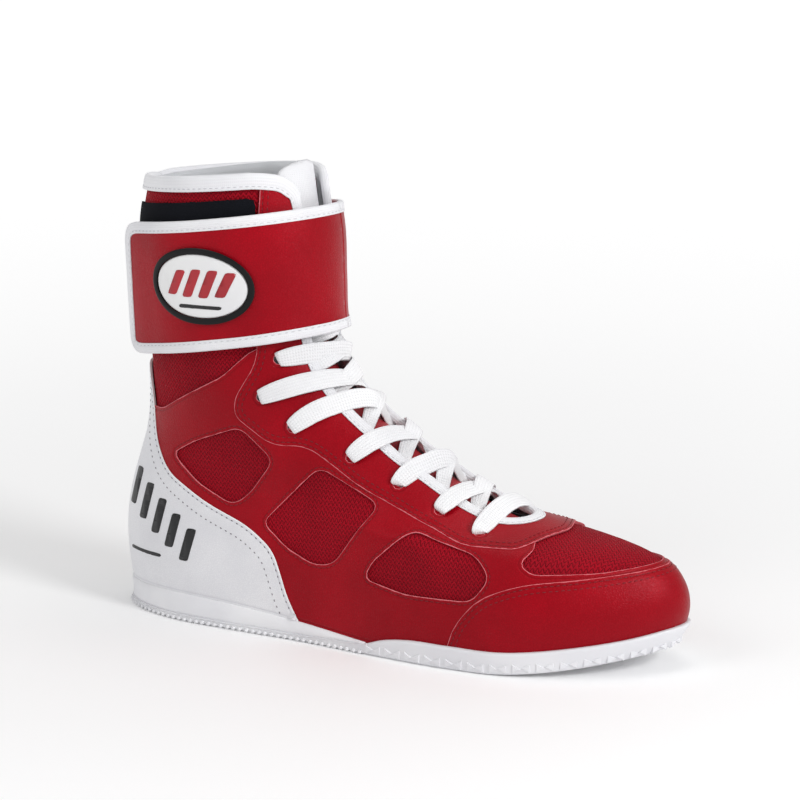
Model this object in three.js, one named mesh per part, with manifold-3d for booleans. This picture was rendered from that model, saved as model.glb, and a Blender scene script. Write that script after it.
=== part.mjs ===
// A right-foot high-top boxing boot, in millimetres: +X to the toe, -Y the outer (lateral) side, +Z up.
// Every layer of the upper is a skin at its own distance from one surface, the last, and every panel is
// that skin cut by the panel's pattern, so the layers nest with a constant clearance.
import * as THREE from "three";
import { mergeVertices } from "three/addons/utils/BufferGeometryUtils.js";
import Module from "manifold-3d";

const wasm = await Module();
wasm.setup();

// ---------------------------------------------------------------- driving dimensions

const LENGTH = 287; // heel to toe
const SHAFT_HEIGHT = 209; // ground to the collar's edge
const BALL_WIDTH = 86; // upper, across the ball of the foot

const GAP = 0.3; // clearance between two pieces that touch
const LEATHER = 1.0; // overlays on the upper
const MESH = 0.9; // base upper
const PADDING = 1.1; // heel counter, toe puff and the thin end of the foam
const LINING = 0.6;
const COLLAR_FOAM = 4.0; // foam added to the padding round the ankle

const OUTSOLE = 3.0; // thickness under the heel
const FOREFOOT_SOLE = 4.6; // thickness under the ball
const RIM = 2.6; // thickness of the cup round the forefoot
const SOLE_FLARE = 2.2; // sole outside the upper
const INSOLE_BOARD = 1.2;
const SOCKLINER = 3.4;

const THROAT_HALF = 12.5; // half of the gap between the two facings
const THROAT_SPREAD = 2; // added to it at the toe end
const BINDING = 4.4; // width of a visible textile binding
const TONGUE_HALF = 21;
const TONGUE_FOAM = 3.0;
const TONGUE_RISE = 7; // tongue above the collar

const LACE_WIDTH = 7.4;
const LACE_THICK = 0.9;
const LACE_ROOM = 0.7; // slack between the lace and what it passes, where it bridges a curve
const EYELET_RADIUS = 2.9;
const LACE_IN_EYELET = 4.2; // width of the lace where an eyelet gathers it
const BAR_WIDTH = 5.4; // and where it crosses under the lowest two
const AGLET_LENGTH = 14;
const AGLET_RADIUS = 1.3;

const STRAP_FACE = 0.9;
const STRAP_BACKING = 0.8;
const LOOP_PAD = 1.2;
const HOOK_PAD = 1.1;
const HINGE_GAP = 0.8; // between two parts of the strap, where it folds
const BADGE_HALF = [24.5, 18]; // half length and half height of the oval
const BADGE_RING = 3.2;
const BADGE_RING_THICK = 1.4;
const BADGE_PLATE_THICK = 0.9;

const clamp = (t) => Math.min(1, Math.max(0, t));
const ease = (a, b, t) => clamp((t - a) / (b - a)) ** 2 * (3 - 2 * clamp((t - a) / (b - a)));

// ---------------------------------------------------------------- layers, as distances from the last

const overlay = { outer: 0, inner: -LEATHER };
const mesh = { outer: overlay.inner - GAP, inner: overlay.inner - GAP - MESH };
const padding = { outer: mesh.inner - GAP, inner: mesh.inner - GAP - PADDING };
const lining = { outer: padding.inner - GAP, inner: padding.inner - GAP - LINING };
const laceUnder = mesh.inner - GAP - LACE_ROOM - LACE_THICK / 2;
const laceOver = overlay.outer + GAP + LACE_ROOM + LACE_THICK / 2;
const laceCrossing = LACE_THICK + GAP + 0.3;
const tongueTop = laceUnder - LACE_THICK / 2 - GAP - LACE_ROOM;
const tongueFace = { outer: tongueTop, inner: tongueTop - LEATHER };
const tongueFoam = { outer: tongueFace.inner - GAP, inner: tongueFace.inner - GAP - TONGUE_FOAM };
const tongueLining = { outer: tongueFoam.inner - GAP, inner: tongueFoam.inner - GAP - LINING };
const loopPad = { inner: mesh.outer + GAP, outer: mesh.outer + GAP + LOOP_PAD };

// The strap lies close over its fastening on the lateral side, and clears the lacing in front.
const strapClose = loopPad.outer + GAP + HOOK_PAD + GAP;
const strapLaced = laceOver + laceCrossing + LACE_THICK / 2 + GAP + LACE_ROOM / 2;
const strapIn = (phi) => strapClose + (strapLaced - strapClose) * ease(1.6, 2.3, phi);
const onStrap = (from, to) => ({ inner: (phi) => strapIn(phi) + from, outer: (phi) => strapIn(phi) + to });
const strapThick = STRAP_BACKING + GAP + STRAP_FACE;
const wholeStrap = onStrap(0, strapThick);
const strapBacking = onStrap(0, STRAP_BACKING);
const strapFace = onStrap(STRAP_BACKING + GAP, strapThick);
const hookPad = onStrap(-GAP - HOOK_PAD, -GAP);

// ---------------------------------------------------------------- the last

// The curves are drawn for one size and graded to the driving dimensions, as a pattern maker does.
const DRAWN = { length: 287, width: 86, height: 209 };
const grade = [LENGTH / DRAWN.length, BALL_WIDTH / DRAWN.width, SHAFT_HEIGHT / DRAWN.height];

// Each curve is a list of [place, value] knots: profiles by height, plan widths by distance from the heel.
const BACK = [[6, 6], [20, 3], [34, 1.5], [49, 2.5], [60, 5], [72, 9], [85, 13.5], [99, 16],
  [115, 16.5], [135, 15.5], [160, 14.5], [185, 14], [200, 17], [210, 20]];
const FRONT = [[6, 274], [20, 283], [28, 284.5], [38, 282], [44, 277.5], [49, 270], [52, 261], [54.5, 249],
  [56.5, 235], [59, 221], [63, 206], [69, 191], [77, 176], [85, 161], [94, 148], [103, 135], [113, 123],
  [125, 114], [140, 109.5], [160, 108], [183, 107], [199, 104.5], [210, 103]];
const FOOT_LATERAL = [[0, 29], [38, 30], [67, 32], [117, 36], [156, 41.5], [190, 44.5], [215, 44],
  [240, 41], [262, 37], [285, 32]];
const FOOT_MEDIAL = [[0, 29], [67, 29], [117, 29], [156, 35], [190, 41], [215, 42], [240, 40], [262, 37],
  [285, 32]];
const SHAFT_HALF = [[50, 30], [90, 32], [120, 33.5], [160, 35.5], [210, 37]];
const HEEL_ROUND = [[6, 52], [60, 56], [100, 56], [150, 48], [210, 44]];
const TOE_ROUND = [[6, 66], [28, 70], [44, 90], [56, 105], [70, 100], [90, 80], [115, 58], [150, 48],
  [210, 46]];
const CENTRE = [[0, 0], [60, 0], [130, 2], [190, 3], [240, 4], [288, 8]];

const FEATHER = [[0, 12.6], [60, 12.6], [99, 10], [125, 7.4], [150, 5]]; // top of the heel wedge
const SPRING_START = 205;
const TOE_SPRING = 12;

// A smooth curve through the knots, level outside them.
function curve(knots, t) {
  const last = knots.length - 1;
  if (t <= knots[0][0]) return knots[0][1];
  if (t >= knots[last][0]) return knots[last][1];
  const i = knots.findIndex(([place]) => place > t) - 1;
  const secant = (j) => (knots[j + 1][1] - knots[j][1]) / (knots[j + 1][0] - knots[j][0]);
  const slope = (j) => {
    if (j === 0) return secant(0);
    if (j === last) return secant(last - 1);
    const before = knots[j][0] - knots[j - 1][0];
    const after = knots[j + 1][0] - knots[j][0];
    return (secant(j - 1) * after + secant(j) * before) / (before + after);
  };
  const step = knots[i + 1][0] - knots[i][0];
  const u = (t - knots[i][0]) / step;
  return (
    (2 * u ** 3 - 3 * u ** 2 + 1) * knots[i][1] +
    (u ** 3 - 2 * u ** 2 + u) * step * slope(i) +
    (3 * u ** 2 - 2 * u ** 3) * knots[i + 1][1] +
    (u ** 3 - u ** 2) * step * slope(i + 1)
  );
}

const roundEnd = (t) => (t >= 1 ? 1 : Math.sqrt(Math.max(0, 1 - (1 - t) ** 2)));

function halfWidth(x, z, side) {
  const foot = curve(side < 0 ? FOOT_LATERAL : FOOT_MEDIAL, x) * (1 - 0.1 * clamp((z - 14) / 50) ** 1.5);
  const shaft = ease(50, 125, z);
  return foot * (1 - shaft) + curve(SHAFT_HALF, z) * shaft;
}

// A point of the last: phi runs from the heel (0) round the lateral side to the toe (PI) and back.
function lastPoint(phi, height) {
  const z = height / grade[2];
  const back = curve(BACK, z);
  const span = curve(FRONT, z) - back;
  const along = (1 - Math.cos(phi)) / 2;
  const side = Math.sin(phi) >= 0 ? -1 : 1;
  const x = back + along * span;
  const half =
    halfWidth(x, z, side) *
    roundEnd((along * span) / Math.min(curve(HEEL_ROUND, z), 0.55 * span)) *
    roundEnd(((1 - along) * span) / Math.min(curve(TOE_ROUND, z), 0.55 * span));
  return new THREE.Vector3(x * grade[0], (curve(CENTRE, x) + side * half) * grade[1], height);
}

function lastNormal(phi, height) {
  const around = lastPoint(phi + 0.01, height).sub(lastPoint(phi - 0.01, height));
  const up = lastPoint(phi, height + 0.5).sub(lastPoint(phi, height - 0.5));
  return around.cross(up).normalize();
}

const offLast = (phi, height, distance) =>
  lastPoint(phi, height).addScaledVector(lastNormal(phi, height), distance);

// The phi of a place x on the lateral side at a height.
function phiAt(x, height) {
  const z = height / grade[2];
  const back = curve(BACK, z);
  return Math.acos(1 - 2 * clamp((x / grade[0] - back) / (curve(FRONT, z) - back)));
}

// Heights along the boot, by x: ground side of the sole, its floor, and the upper's lower edge.
const soleBottom = (x) =>
  TOE_SPRING * clamp((x / grade[0] - SPRING_START) / (DRAWN.length - SPRING_START)) ** 1.7;
const soleFloor = (x) =>
  soleBottom(x) + OUTSOLE + (FOREFOOT_SOLE - OUTSOLE) * ease(110, 150, x / grade[0]);
const wedgeTop = (x) => curve(FEATHER, x / grade[0]) * grade[2];
const upperEdge = (x) => Math.max(soleFloor(x), x / grade[0] < 151 ? wedgeTop(x) : 0) + GAP;

// A height that depends on x, found at a given phi.
function heightAt(phi, law) {
  let z = law(lastPoint(phi, 10).x);
  for (let i = 0; i < 4; i++) z = law(lastPoint(phi, z).x);
  return z;
}

// ---------------------------------------------------------------- solids

const COLUMNS = 22;
const ROWS = 11;

const layersTop = SHAFT_HEIGHT - LEATHER - GAP; // where the layers end under the collar's binding
const bindingLow = SHAFT_HEIGHT - BINDING - 2.4;
const collarLine = bindingLow - GAP;

function solid(geometry) {
  const bare = new THREE.BufferGeometry().setAttribute("position", geometry.getAttribute("position"));
  if (geometry.index) bare.setIndex(geometry.index);
  const merged = mergeVertices(bare, 1e-4);
  return new wasm.Manifold(
    new wasm.Mesh({
      numProp: 3,
      vertProperties: new Float32Array(merged.attributes.position.array),
      triVerts: new Uint32Array(merged.index.array),
    }),
  );
}

// Quads between rings of points. The inner face splits its quads along the same diagonals as the outer one,
// so that the faces of neighbouring layers stay parallel.
function fromRings(rings, { closedColumns, closedRings = false, flipFrom = Infinity }) {
  const points = rings.flat();
  const size = rings[0].length;
  const index = [];
  const columns = closedColumns ? size : size - 1;
  const bands = closedRings ? rings.length : rings.length - 1;
  for (let r = 0; r < bands; r++)
    for (let c = 0; c < columns; c++) {
      const next = (r + 1) % rings.length;
      const [a, b] = [r * size + c, r * size + ((c + 1) % size)];
      const [d, e] = [next * size + c, next * size + ((c + 1) % size)];
      index.push(...(r >= flipFrom ? [a, b, d, b, e, d] : [a, b, e, a, e, d]));
    }
  return { points, index, size };
}

function geometryFrom(points, index) {
  const geometry = new THREE.BufferGeometry();
  const places = points.flatMap((p) => p.toArray());
  geometry.setAttribute("position", new THREE.Float32BufferAttribute(places, 3));
  geometry.setIndex(index);
  return geometry;
}

const turn = (from, to, steps) =>
  Array.from({ length: steps + 1 }, (_, i) => from + ((to - from) * i) / steps);
const allColumns = turn(0, 2 * Math.PI, COLUMNS).slice(0, COLUMNS);
const columnsWithin = (from, to) => [
  from,
  ...allColumns.filter((phi) => phi > from + 0.02 && phi < to - 0.02),
  to,
];

// Rows lie evenly along the ridge from toe to collar, so the flat forefoot gets as many as the shaft.
const rowShare = (() => {
  const heights = turn(soleFloor(LENGTH), collarLine, 400);
  const ridge = heights.map((z) => lastPoint(Math.PI, z));
  const run = [0];
  for (let i = 1; i < ridge.length; i++) run.push(run[i - 1] + ridge[i].distanceTo(ridge[i - 1]));
  return turn(0, 1, ROWS).map((share) => {
    const i = Math.min(ridge.length - 1, run.findIndex((length) => length >= share * run.at(-1) - 1e-9));
    return (heights[i] - heights[0]) / (heights.at(-1) - heights[0]);
  });
})();

// The heights of the rows at one phi, from the upper's lower edge to the collar's binding.
function rowHeights(phi) {
  const low = heightAt(phi, upperEdge);
  return rowShare.map((share) => low + (collarLine - low) * share);
}
const rowsToTop = (phi) => [...rowHeights(phi), layersTop];

// A point at a distance from the flat facets that the skins are made of.
function offFacets({ phi, z }, off) {
  const column = Math.min(COLUMNS - 1, Math.floor((phi / (2 * Math.PI)) * COLUMNS));
  const sides = [column, column + 1].map((i) => (i * 2 * Math.PI) / COLUMNS);
  const u = (phi - sides[0]) / (sides[1] - sides[0]);
  const levels = sides.map(rowsToTop);
  const blended = levels[0].map((level, row) => level + (levels[1][row] - level) * u);
  const row = Math.min(blended.length - 2, Math.max(0, blended.findLastIndex((level) => level <= z)));
  const v = (z - blended[row]) / (blended[row + 1] - blended[row]);
  const corner = (i, level) => offLast(sides[i], levels[i][level], off);
  const edge = (i) => corner(i, row).lerp(corner(i, row + 1), v);
  return edge(0).lerp(edge(1), u);
}

const distance = (layer, phi, z) => (typeof layer === "function" ? layer(phi, z) : layer);

// The closed solid between two distances from the last, over some columns and their heights.
function skin(layer, { columns = allColumns, heights = rowHeights } = {}) {
  const closed = columns === allColumns;
  const levels = columns.map((phi) => heights(phi));
  const face = (side) =>
    levels[0].map((_, row) =>
      columns.map((phi, i) => offLast(phi, levels[i][row], distance(layer[side], phi, levels[i][row]))),
    );
  const rings = [...face("outer"), ...face("inner").reverse()];
  const { points, index, size } = fromRings(rings, {
    closedColumns: closed,
    closedRings: true,
    flipFrom: levels[0].length,
  });
  if (!closed) {
    const rows = levels[0].length;
    for (const column of [0, size - 1])
      for (let r = 0; r < rows - 1; r++) {
        const [a, b] = [r * size + column, (r + 1) * size + column];
        const [d, e] = [(2 * rows - 1 - r) * size + column, (2 * rows - 2 - r) * size + column];
        index.push(...(column === 0 ? [a, b, e, a, e, d] : [a, e, b, a, d, e]));
      }
  }
  return solid(geometryFrom(points, index));
}

// A plate that follows the boot's plan: rings from below to above, capped by ladders across the foot.
function plate(rings) {
  const { points, index, size } = fromRings(rings, { closedColumns: true });
  const ladder = (start, flip) => {
    for (let k = 0; k < size / 2; k++) {
      const [a, b] = [start + k, start + k + 1];
      const [d, e] = [start + ((size - k) % size), start + size - k - 1];
      const faces = [];
      if (a !== d) faces.push([a, b, d]);
      if (b !== e) faces.push([b, e, d]);
      for (const [p, q, r] of faces) index.push(...(flip ? [p, r, q] : [p, q, r]));
    }
  };
  ladder(0, true);
  ladder((rings.length - 1) * size, false);
  return solid(geometryFrom(points, index));
}

// One ring of a plate: the boot's plan at the height a law gives, moved sideways by a distance.
function planRing(law, sideways, lift = 0) {
  return allColumns.map((phi) => {
    const z = heightAt(phi, law);
    const outward = lastNormal(phi, z).setZ(0).normalize();
    return lastPoint(phi, z).addScaledVector(outward, sideways).setZ(z + lift);
  });
}

// ---------------------------------------------------------------- patterns

const FAR = 400;
const graded = (points) => points.map(([x, z]) => [x * grade[0], z * grade[2]]);

function area(points) {
  return points.reduce((sum, [x, y], i) => {
    const [nx, ny] = points[(i + 1) % points.length];
    return sum + (x * ny - nx * y) / 2;
  }, 0);
}

// The outline moved outwards by a distance, or inwards by a negative one.
function grow(points, by) {
  const sign = Math.sign(area(points));
  const count = points.length;
  return points.map((point, i) => {
    const here = new THREE.Vector2(...point);
    const normal = (p, q) => new THREE.Vector2(q[1] - p[1], p[0] - q[0]).normalize().multiplyScalar(sign);
    const before = normal(points[(i + count - 1) % count], point);
    const after = normal(point, points[(i + 1) % count]);
    const miter = before.clone().add(after).normalize();
    return here.addScaledVector(miter, by / Math.max(0.5, miter.dot(after))).toArray();
  });
}

// A shape with each corner rounded by up to a radius.
function rounded(points, radius) {
  const shape = new THREE.Shape();
  points.forEach((corner, i) => {
    const here = new THREE.Vector2(...corner);
    const before = new THREE.Vector2(...points.at(i - 1));
    const after = new THREE.Vector2(...points[(i + 1) % points.length]);
    const reach = Math.min(radius, here.distanceTo(before) / 2.1, here.distanceTo(after) / 2.1);
    const start = here.clone().lerp(before, reach / here.distanceTo(before));
    const end = here.clone().lerp(after, reach / here.distanceTo(after));
    if (i === 0) shape.moveTo(start.x, start.y);
    else shape.lineTo(start.x, start.y);
    shape.quadraticCurveTo(here.x, here.y, end.x, end.y);
  });
  shape.closePath();
  return shape;
}

// Solids that a pattern sweeps across the boot, seen from the side, from above and from the front.
const swept = (shape, depth, curveSegments) =>
  new THREE.ExtrudeGeometry(shape, { depth, bevelEnabled: false, curveSegments });
const fromSide = (shape, y0 = -FAR, y1 = FAR) =>
  solid(swept(shape, y1 - y0, 2).rotateX(Math.PI / 2).translate(0, y1, 0));
const fromAbove = (shape) => solid(swept(shape, 2 * FAR, 5).translate(0, 0, -FAR));
const fromFront = (shape) =>
  solid(swept(shape, 2 * FAR, 5).rotateX(Math.PI / 2).rotateZ(Math.PI / 2).translate(-FAR, 0, 0));

const centreLine = CENTRE[2][1] * grade[1]; // where lateral and medial pieces meet on the instep
const halves = [
  { side: "lateral", low: -FAR, high: centreLine - GAP / 2 },
  { side: "medial", low: centreLine + GAP / 2, high: FAR },
];
const square = [[-FAR, -FAR], [FAR, -FAR], [FAR, FAR], [-FAR, FAR]];
const slab = (low, high) => fromSide(rounded(square, 0.1), low, high);

const heelCapEdge = graded([[-20, -9], [-20, 118], [19, 118], [25, 104], [28, 83], [37, 69], [62, 57],
  [84, 49.5], [98, 40], [103, 28], [106, 20], [115, 9], [118, -9]]);
const toeCapEdge = graded([[191, -9], [195, 19], [206, 33], [225, 40.5], [254, 43.5], [274, 46], [290, 50],
  [320, 50], [320, -9]]);
const eyestayEdge = graded([[90, 260], [88, 125], [78, 108], [78, 100], [96, 88], [113, 89], [140, 73],
  [168, 62], [195, 54], [219, 53.5], [227, 58], [240, 80], [200, 260]]);
const quarterEdge = graded([[-20, -9], [-20, 98], [33, 98], [48, 106], [72, 118], [84, 130], [95, 135],
  [240, 80], [320, 80], [320, -9]]);
const windows = [
  [[40, 78], [55, 86], [80, 95], [97, 81], [84, 64], [75, 58], [56, 66]],
  [[92, 52], [120, 80], [151, 66], [131, 38], [120, 36], [105, 42]],
  [[148, 34], [152, 42], [170, 58], [203, 51], [211, 42], [203, 31], [170, 30]],
  [[232, 90], [226, 54], [222, 49], [228, 44], [254, 45], [272, 48], [276, 90]],
].map(graded);
const collarCorner = graded([[91, 212], [97, 206], [101, 200], [104, 190], [160, 190], [160, 260],
  [91, 260]]);

// The throat, seen from above: two edges that spread a little towards the toe, and a round end.
function throat(wider = 0) {
  const half = THROAT_HALF + wider;
  const end = half + THROAT_SPREAD;
  const [x0, x1] = [70 * grade[0], 197 * grade[0]];
  const [c0, c1] = [curve(CENTRE, 100) * grade[1], curve(CENTRE, 197) * grade[1]];
  const shape = new THREE.Shape();
  shape.moveTo(x0, c0 - half);
  shape.lineTo(x1, c1 - end);
  shape.absarc(x1, c1, end, -Math.PI / 2, Math.PI / 2, false);
  shape.lineTo(x0, c0 + half);
  shape.closePath();
  return fromAbove(shape);
}

// ---------------------------------------------------------------- the boot

const boot = new THREE.Group();

function add(name, shape, color, roughness, metalness = 0) {
  const { vertProperties, triVerts } = shape.getMesh();
  const geometry = new THREE.BufferGeometry();
  geometry.setAttribute("position", new THREE.Float32BufferAttribute(vertProperties, 3));
  geometry.setIndex(Array.from(triVerts));
  geometry.computeVertexNormals();
  const piece = new THREE.Mesh(geometry, new THREE.MeshStandardMaterial({ color, roughness, metalness }));
  piece.name = name;
  boot.add(piece);
}

const RED_LEATHER = 0x9c0f1e;
const RED_MESH = 0x7a0c18;
const WHITE_LEATHER = 0xe9eaee;
const WHITE_TEXTILE = 0xeeeeef;
const WHITE_RUBBER = 0xe6e8ec;
const BLACK_TEXTILE = 0x15171c;
const GREY_LINING = 0xd2d4d8;
const FOAM = 0xd8d2b8;
const STIFFENER = 0xcfc7b4;

// --- sole unit

function makeSole() {
  const sideways = SOLE_FLARE;
  const tread = plate([
    planRing(soleBottom, sideways - 1.2),
    planRing(soleBottom, sideways, 1.2),
    planRing(soleFloor, sideways),
  ]);
  const rimEdge = graded([[146, -9], [146, 3], [158, 7.5], [170, 9.6], [192, 10.2], [214, 10.2],
    [248, 13.9], [268, 17.2], [282, 20.4], [320, 28], [320, -9]]);
  const rim = skin(
    { inner: overlay.outer + GAP, outer: overlay.outer + GAP + RIM },
    { heights: (phi) => [-1.2, 3, 7, 14].map((lift) => heightAt(phi, soleFloor) + lift) },
  ).intersect(fromSide(rounded(rimEdge, 4)));
  add("outsole", tread.add(rim), WHITE_RUBBER, 0.55);

  const wedgeBase = (x) => soleFloor(x) + GAP;
  const wedge = plate([
    planRing(wedgeBase, sideways - 0.4),
    planRing(wedgeTop, sideways - 1.4),
  ]).intersect(fromSide(rounded(graded([[-20, -9], [134, -9], [134, 60], [-20, 60]]), 0.5)));
  add("midsole_wedge", wedge, WHITE_RUBBER, 0.6);

  const inside = lining.inner - GAP - 0.3;
  const level = (lift) => planRing(upperEdge, inside, lift);
  add("insole_board", plate([level(0), level(INSOLE_BOARD)]), STIFFENER, 0.8);
  const bed = INSOLE_BOARD + GAP;
  add("sockliner", plate([level(bed), level(bed + SOCKLINER)]), 0x2b2d33, 0.9);
}

// --- upper

// How far the collar's foam pushes the lining in: round the ankle, behind the facings.
function foamDepth(phi, z) {
  const x = lastPoint(phi, z).x / grade[0];
  return COLLAR_FOAM * ease(78, 100, z / grade[2]) * (1 - ease(70, 88, x));
}
const liningLayer = {
  outer: (phi, z) => lining.outer - foamDepth(phi, z),
  inner: (phi, z) => lining.inner - foamDepth(phi, z),
};

function makeUpper() {
  const rows = { heights: rowsToTop };
  const opening = throat(BINDING + GAP);
  const corner = fromSide(rounded(collarCorner, 8));
  const under = 1; // the eyestay laps over the layers behind it
  const behindEyestay = fromSide(rounded(grow(eyestayEdge, -under), 6));
  const stayPattern = fromSide(rounded(grow(eyestayEdge, -under - GAP), 6));
  const eyestay = fromSide(rounded(eyestayEdge, 8));
  const besideEyestay = fromSide(rounded(grow(eyestayEdge, GAP), 8));
  const cornerEdge = fromSide(rounded(grow(collarCorner, GAP), 8));
  const holes = eyeletHoles();

  const overlays = skin(overlay);
  const base = skin(mesh, rows);
  const inner = skin(liningLayer, rows);
  const heelCap = fromSide(rounded(heelCapEdge, 7));
  const toeCap = fromSide(rounded(toeCapEdge, 9));
  const cutOuts = [
    fromSide(rounded(grow(heelCapEdge, GAP), 7)),
    fromSide(rounded(grow(toeCapEdge, GAP), 9)),
    besideEyestay,
    ...windows.map((window) => fromSide(rounded(window, 5))),
  ];
  add("heel_cap", overlays.intersect(heelCap), WHITE_LEATHER, 0.45);
  add("toe_cap", overlays.intersect(toeCap), RED_LEATHER, 0.4);
  const quarters = cutOuts.reduce(
    (rest, cut) => rest.subtract(cut),
    overlays.intersect(fromSide(rounded(quarterEdge, 6))),
  );
  const facings = overlays.intersect(eyestay).subtract(opening).subtract(cornerEdge).subtract(holes);
  const stays = base.intersect(stayPattern).subtract(opening).subtract(corner).subtract(holes);
  const baseUpper = base.subtract(behindEyestay);
  const innerLining = inner.subtract(fromSide(rounded(grow(eyestayEdge, 2 * under), 6)));
  for (const { side, low, high } of halves) {
    const half = slab(low, high);
    add("mesh_upper_" + side, baseUpper.intersect(half), RED_MESH, 0.85);
    add("quarter_" + side, quarters.intersect(half), RED_LEATHER, 0.4);
    add("eyestay_" + side, facings.intersect(half), RED_LEATHER, 0.4);
    add("eyelet_stay_" + side, stays.intersect(half), GREY_LINING, 0.9);
    add("lining_" + side, innerLining.intersect(half), GREY_LINING, 0.95);
  }
}

function makeStiffeners() {
  const counterEdge = graded([[-20, -9], [-20, 66], [30, 62], [62, 46], [84, 26], [90, -9]]);
  const puffEdge = graded([[222, -9], [228, 30], [240, 42], [262, 60], [320, 60], [320, -9]]);
  const pads = skin(padding);
  add("heel_counter", pads.intersect(fromSide(rounded(counterEdge, 12))), STIFFENER, 0.7);
  add("toe_puff", pads.intersect(fromSide(rounded(puffEdge, 12))), STIFFENER, 0.7);
  const foamEdge = graded([[-20, 84], [86, 84], [86, 260], [-20, 260]]);
  const foam = skin(
    { outer: padding.outer, inner: (phi, z) => padding.inner - foamDepth(phi, z) },
    { heights: rowsToTop },
  ).intersect(fromSide(rounded(foamEdge, 10)));
  for (const { side, low, high } of halves)
    add("collar_foam_" + side, foam.intersect(slab(low, high)), FOAM, 0.95);
}

// Textile bindings: over the collar's edge, and along each side of the throat.
function makeBindings() {
  const reach = (phi, z) => {
    const facing = ease(80, 90, lastPoint(phi, z).x / grade[0]);
    return (lining.inner - foamDepth(phi, z)) * (1 - facing) + mesh.inner * facing;
  };
  const flange = skin(overlay, { heights: () => [bindingLow, layersTop + GAP, SHAFT_HEIGHT] });
  const lip = () => [layersTop + GAP, SHAFT_HEIGHT];
  const edge = skin({ outer: overlay.outer, inner: reach }, { heights: lip });
  const behindCorner = fromSide(rounded(graded([[-20, 150], [90.6, 150], [90.6, 260], [-20, 260]]), 0.5));
  const collar = flange.add(edge).intersect(behindCorner);
  const facing = skin({ outer: overlay.outer, inner: mesh.inner }, { heights: rowsToTop })
    .intersect(throat(BINDING))
    .subtract(throat())
    .subtract(fromSide(rounded(collarCorner, 8)))
    .subtract(eyeletHoles())
    .intersect(fromSide(rounded(eyestayEdge, 8)));
  for (const { side, low, high } of halves) {
    add("collar_binding_" + side, collar.intersect(slab(low, high)), WHITE_TEXTILE, 0.85);
    add("throat_binding_" + side, facing.intersect(slab(low, high)), WHITE_TEXTILE, 0.85);
  }
}

// --- tongue

function makeTongue() {
  const columns = columnsWithin(2.1, 4.2);
  const top = SHAFT_HEIGHT + TONGUE_RISE;
  const faceTop = SHAFT_HEIGHT - BINDING;
  const root = 209 * grade[0];
  const middle = curve(CENTRE, 150) * grade[1];
  const plan = new THREE.Shape();
  plan.moveTo(60, middle - TONGUE_HALF);
  plan.lineTo(root - 14, middle - TONGUE_HALF);
  plan.quadraticCurveTo(root, middle - TONGUE_HALF, root, middle - TONGUE_HALF + 10);
  plan.lineTo(root, middle + TONGUE_HALF - 10);
  plan.quadraticCurveTo(root, middle + TONGUE_HALF, root - 14, middle + TONGUE_HALF);
  plan.lineTo(60, middle + TONGUE_HALF);
  plan.closePath();
  const sides = fromAbove(plan);
  const layer = (distances, from, to) =>
    skin(distances, { columns, heights: (phi) => [...rowsToTop(phi).slice(2), top] })
      .intersect(sides)
      .intersect(fromSide(rounded([[0, from], [FAR, from], [FAR, to], [0, to]], 0.5)));
  add("tongue_face", layer(tongueFace, 0, faceTop), RED_LEATHER, 0.4);
  add("tongue_foam", layer(tongueFoam, 0, faceTop), FOAM, 0.95);
  add("tongue_lining", layer(tongueLining, 0, faceTop), GREY_LINING, 0.95);
  const crown = new THREE.Shape();
  crown.moveTo(middle - TONGUE_HALF, faceTop + GAP);
  crown.lineTo(middle + TONGUE_HALF, faceTop + GAP);
  crown.quadraticCurveTo(middle + TONGUE_HALF, top - 3, middle + 8, top);
  crown.lineTo(middle - 8, top);
  crown.quadraticCurveTo(middle - TONGUE_HALF, top - 3, middle - TONGUE_HALF, faceTop + GAP);
  const cap = { outer: tongueFace.outer, inner: tongueLining.inner };
  add("tongue_binding", layer(cap, faceTop, top + 1).intersect(fromFront(crown)), WHITE_TEXTILE, 0.85);
}

// --- lacing

// Eyelets of one facing, from the vamp to the collar, as [x, height]; the other facing mirrors them.
const EYELETS = graded([[199, 58], [178, 65], [157, 75], [134, 85], [106, 97], [91, 110], [97, 127],
  [97, 145], [96, 163]]);
const eyelet = (k, side) => {
  const [x, z] = EYELETS[k];
  const phi = phiAt(x, z);
  return { phi: side < 0 ? phi : 2 * Math.PI - phi, z };
};

const upwards = new THREE.Vector3(0, 1, 0); // the way a three.js cylinder stands

function eyeletHoles() {
  let holes;
  for (let k = 0; k < EYELETS.length; k++)
    for (const side of [-1, 1]) {
      const { phi, z } = eyelet(k, side);
      const tool = new THREE.CylinderGeometry(EYELET_RADIUS, EYELET_RADIUS, 8, 6);
      const upright = new THREE.Quaternion().setFromUnitVectors(upwards, lastNormal(phi, z));
      const middle = offFacets({ phi, z }, mesh.outer);
      tool.applyQuaternion(upright).translate(...middle.toArray());
      holes = holes ? holes.add(solid(tool)) : solid(tool);
    }
  return holes;
}

// The straight way over the boot between two places of the last, as places by share of the way.
function wayBetween(from, to) {
  const start = lastPoint(from.phi, from.z);
  const outward = lastNormal(from.phi, from.z).add(lastNormal(to.phi, to.z));
  const across = lastPoint(to.phi, to.z).sub(start).cross(outward).normalize();
  return (share) => {
    const phi = from.phi + (to.phi - from.phi) * share;
    const off = (z) => lastPoint(phi, z).sub(start).dot(across);
    let [low, high] = [50 * grade[2], SHAFT_HEIGHT + 20];
    const sign = Math.sign(off(low));
    for (let i = 0; i < 30; i++) {
      const z = (low + high) / 2;
      if (Math.sign(off(z)) === sign) low = z;
      else high = z;
    }
    return { phi, z: low };
  };
}

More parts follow.
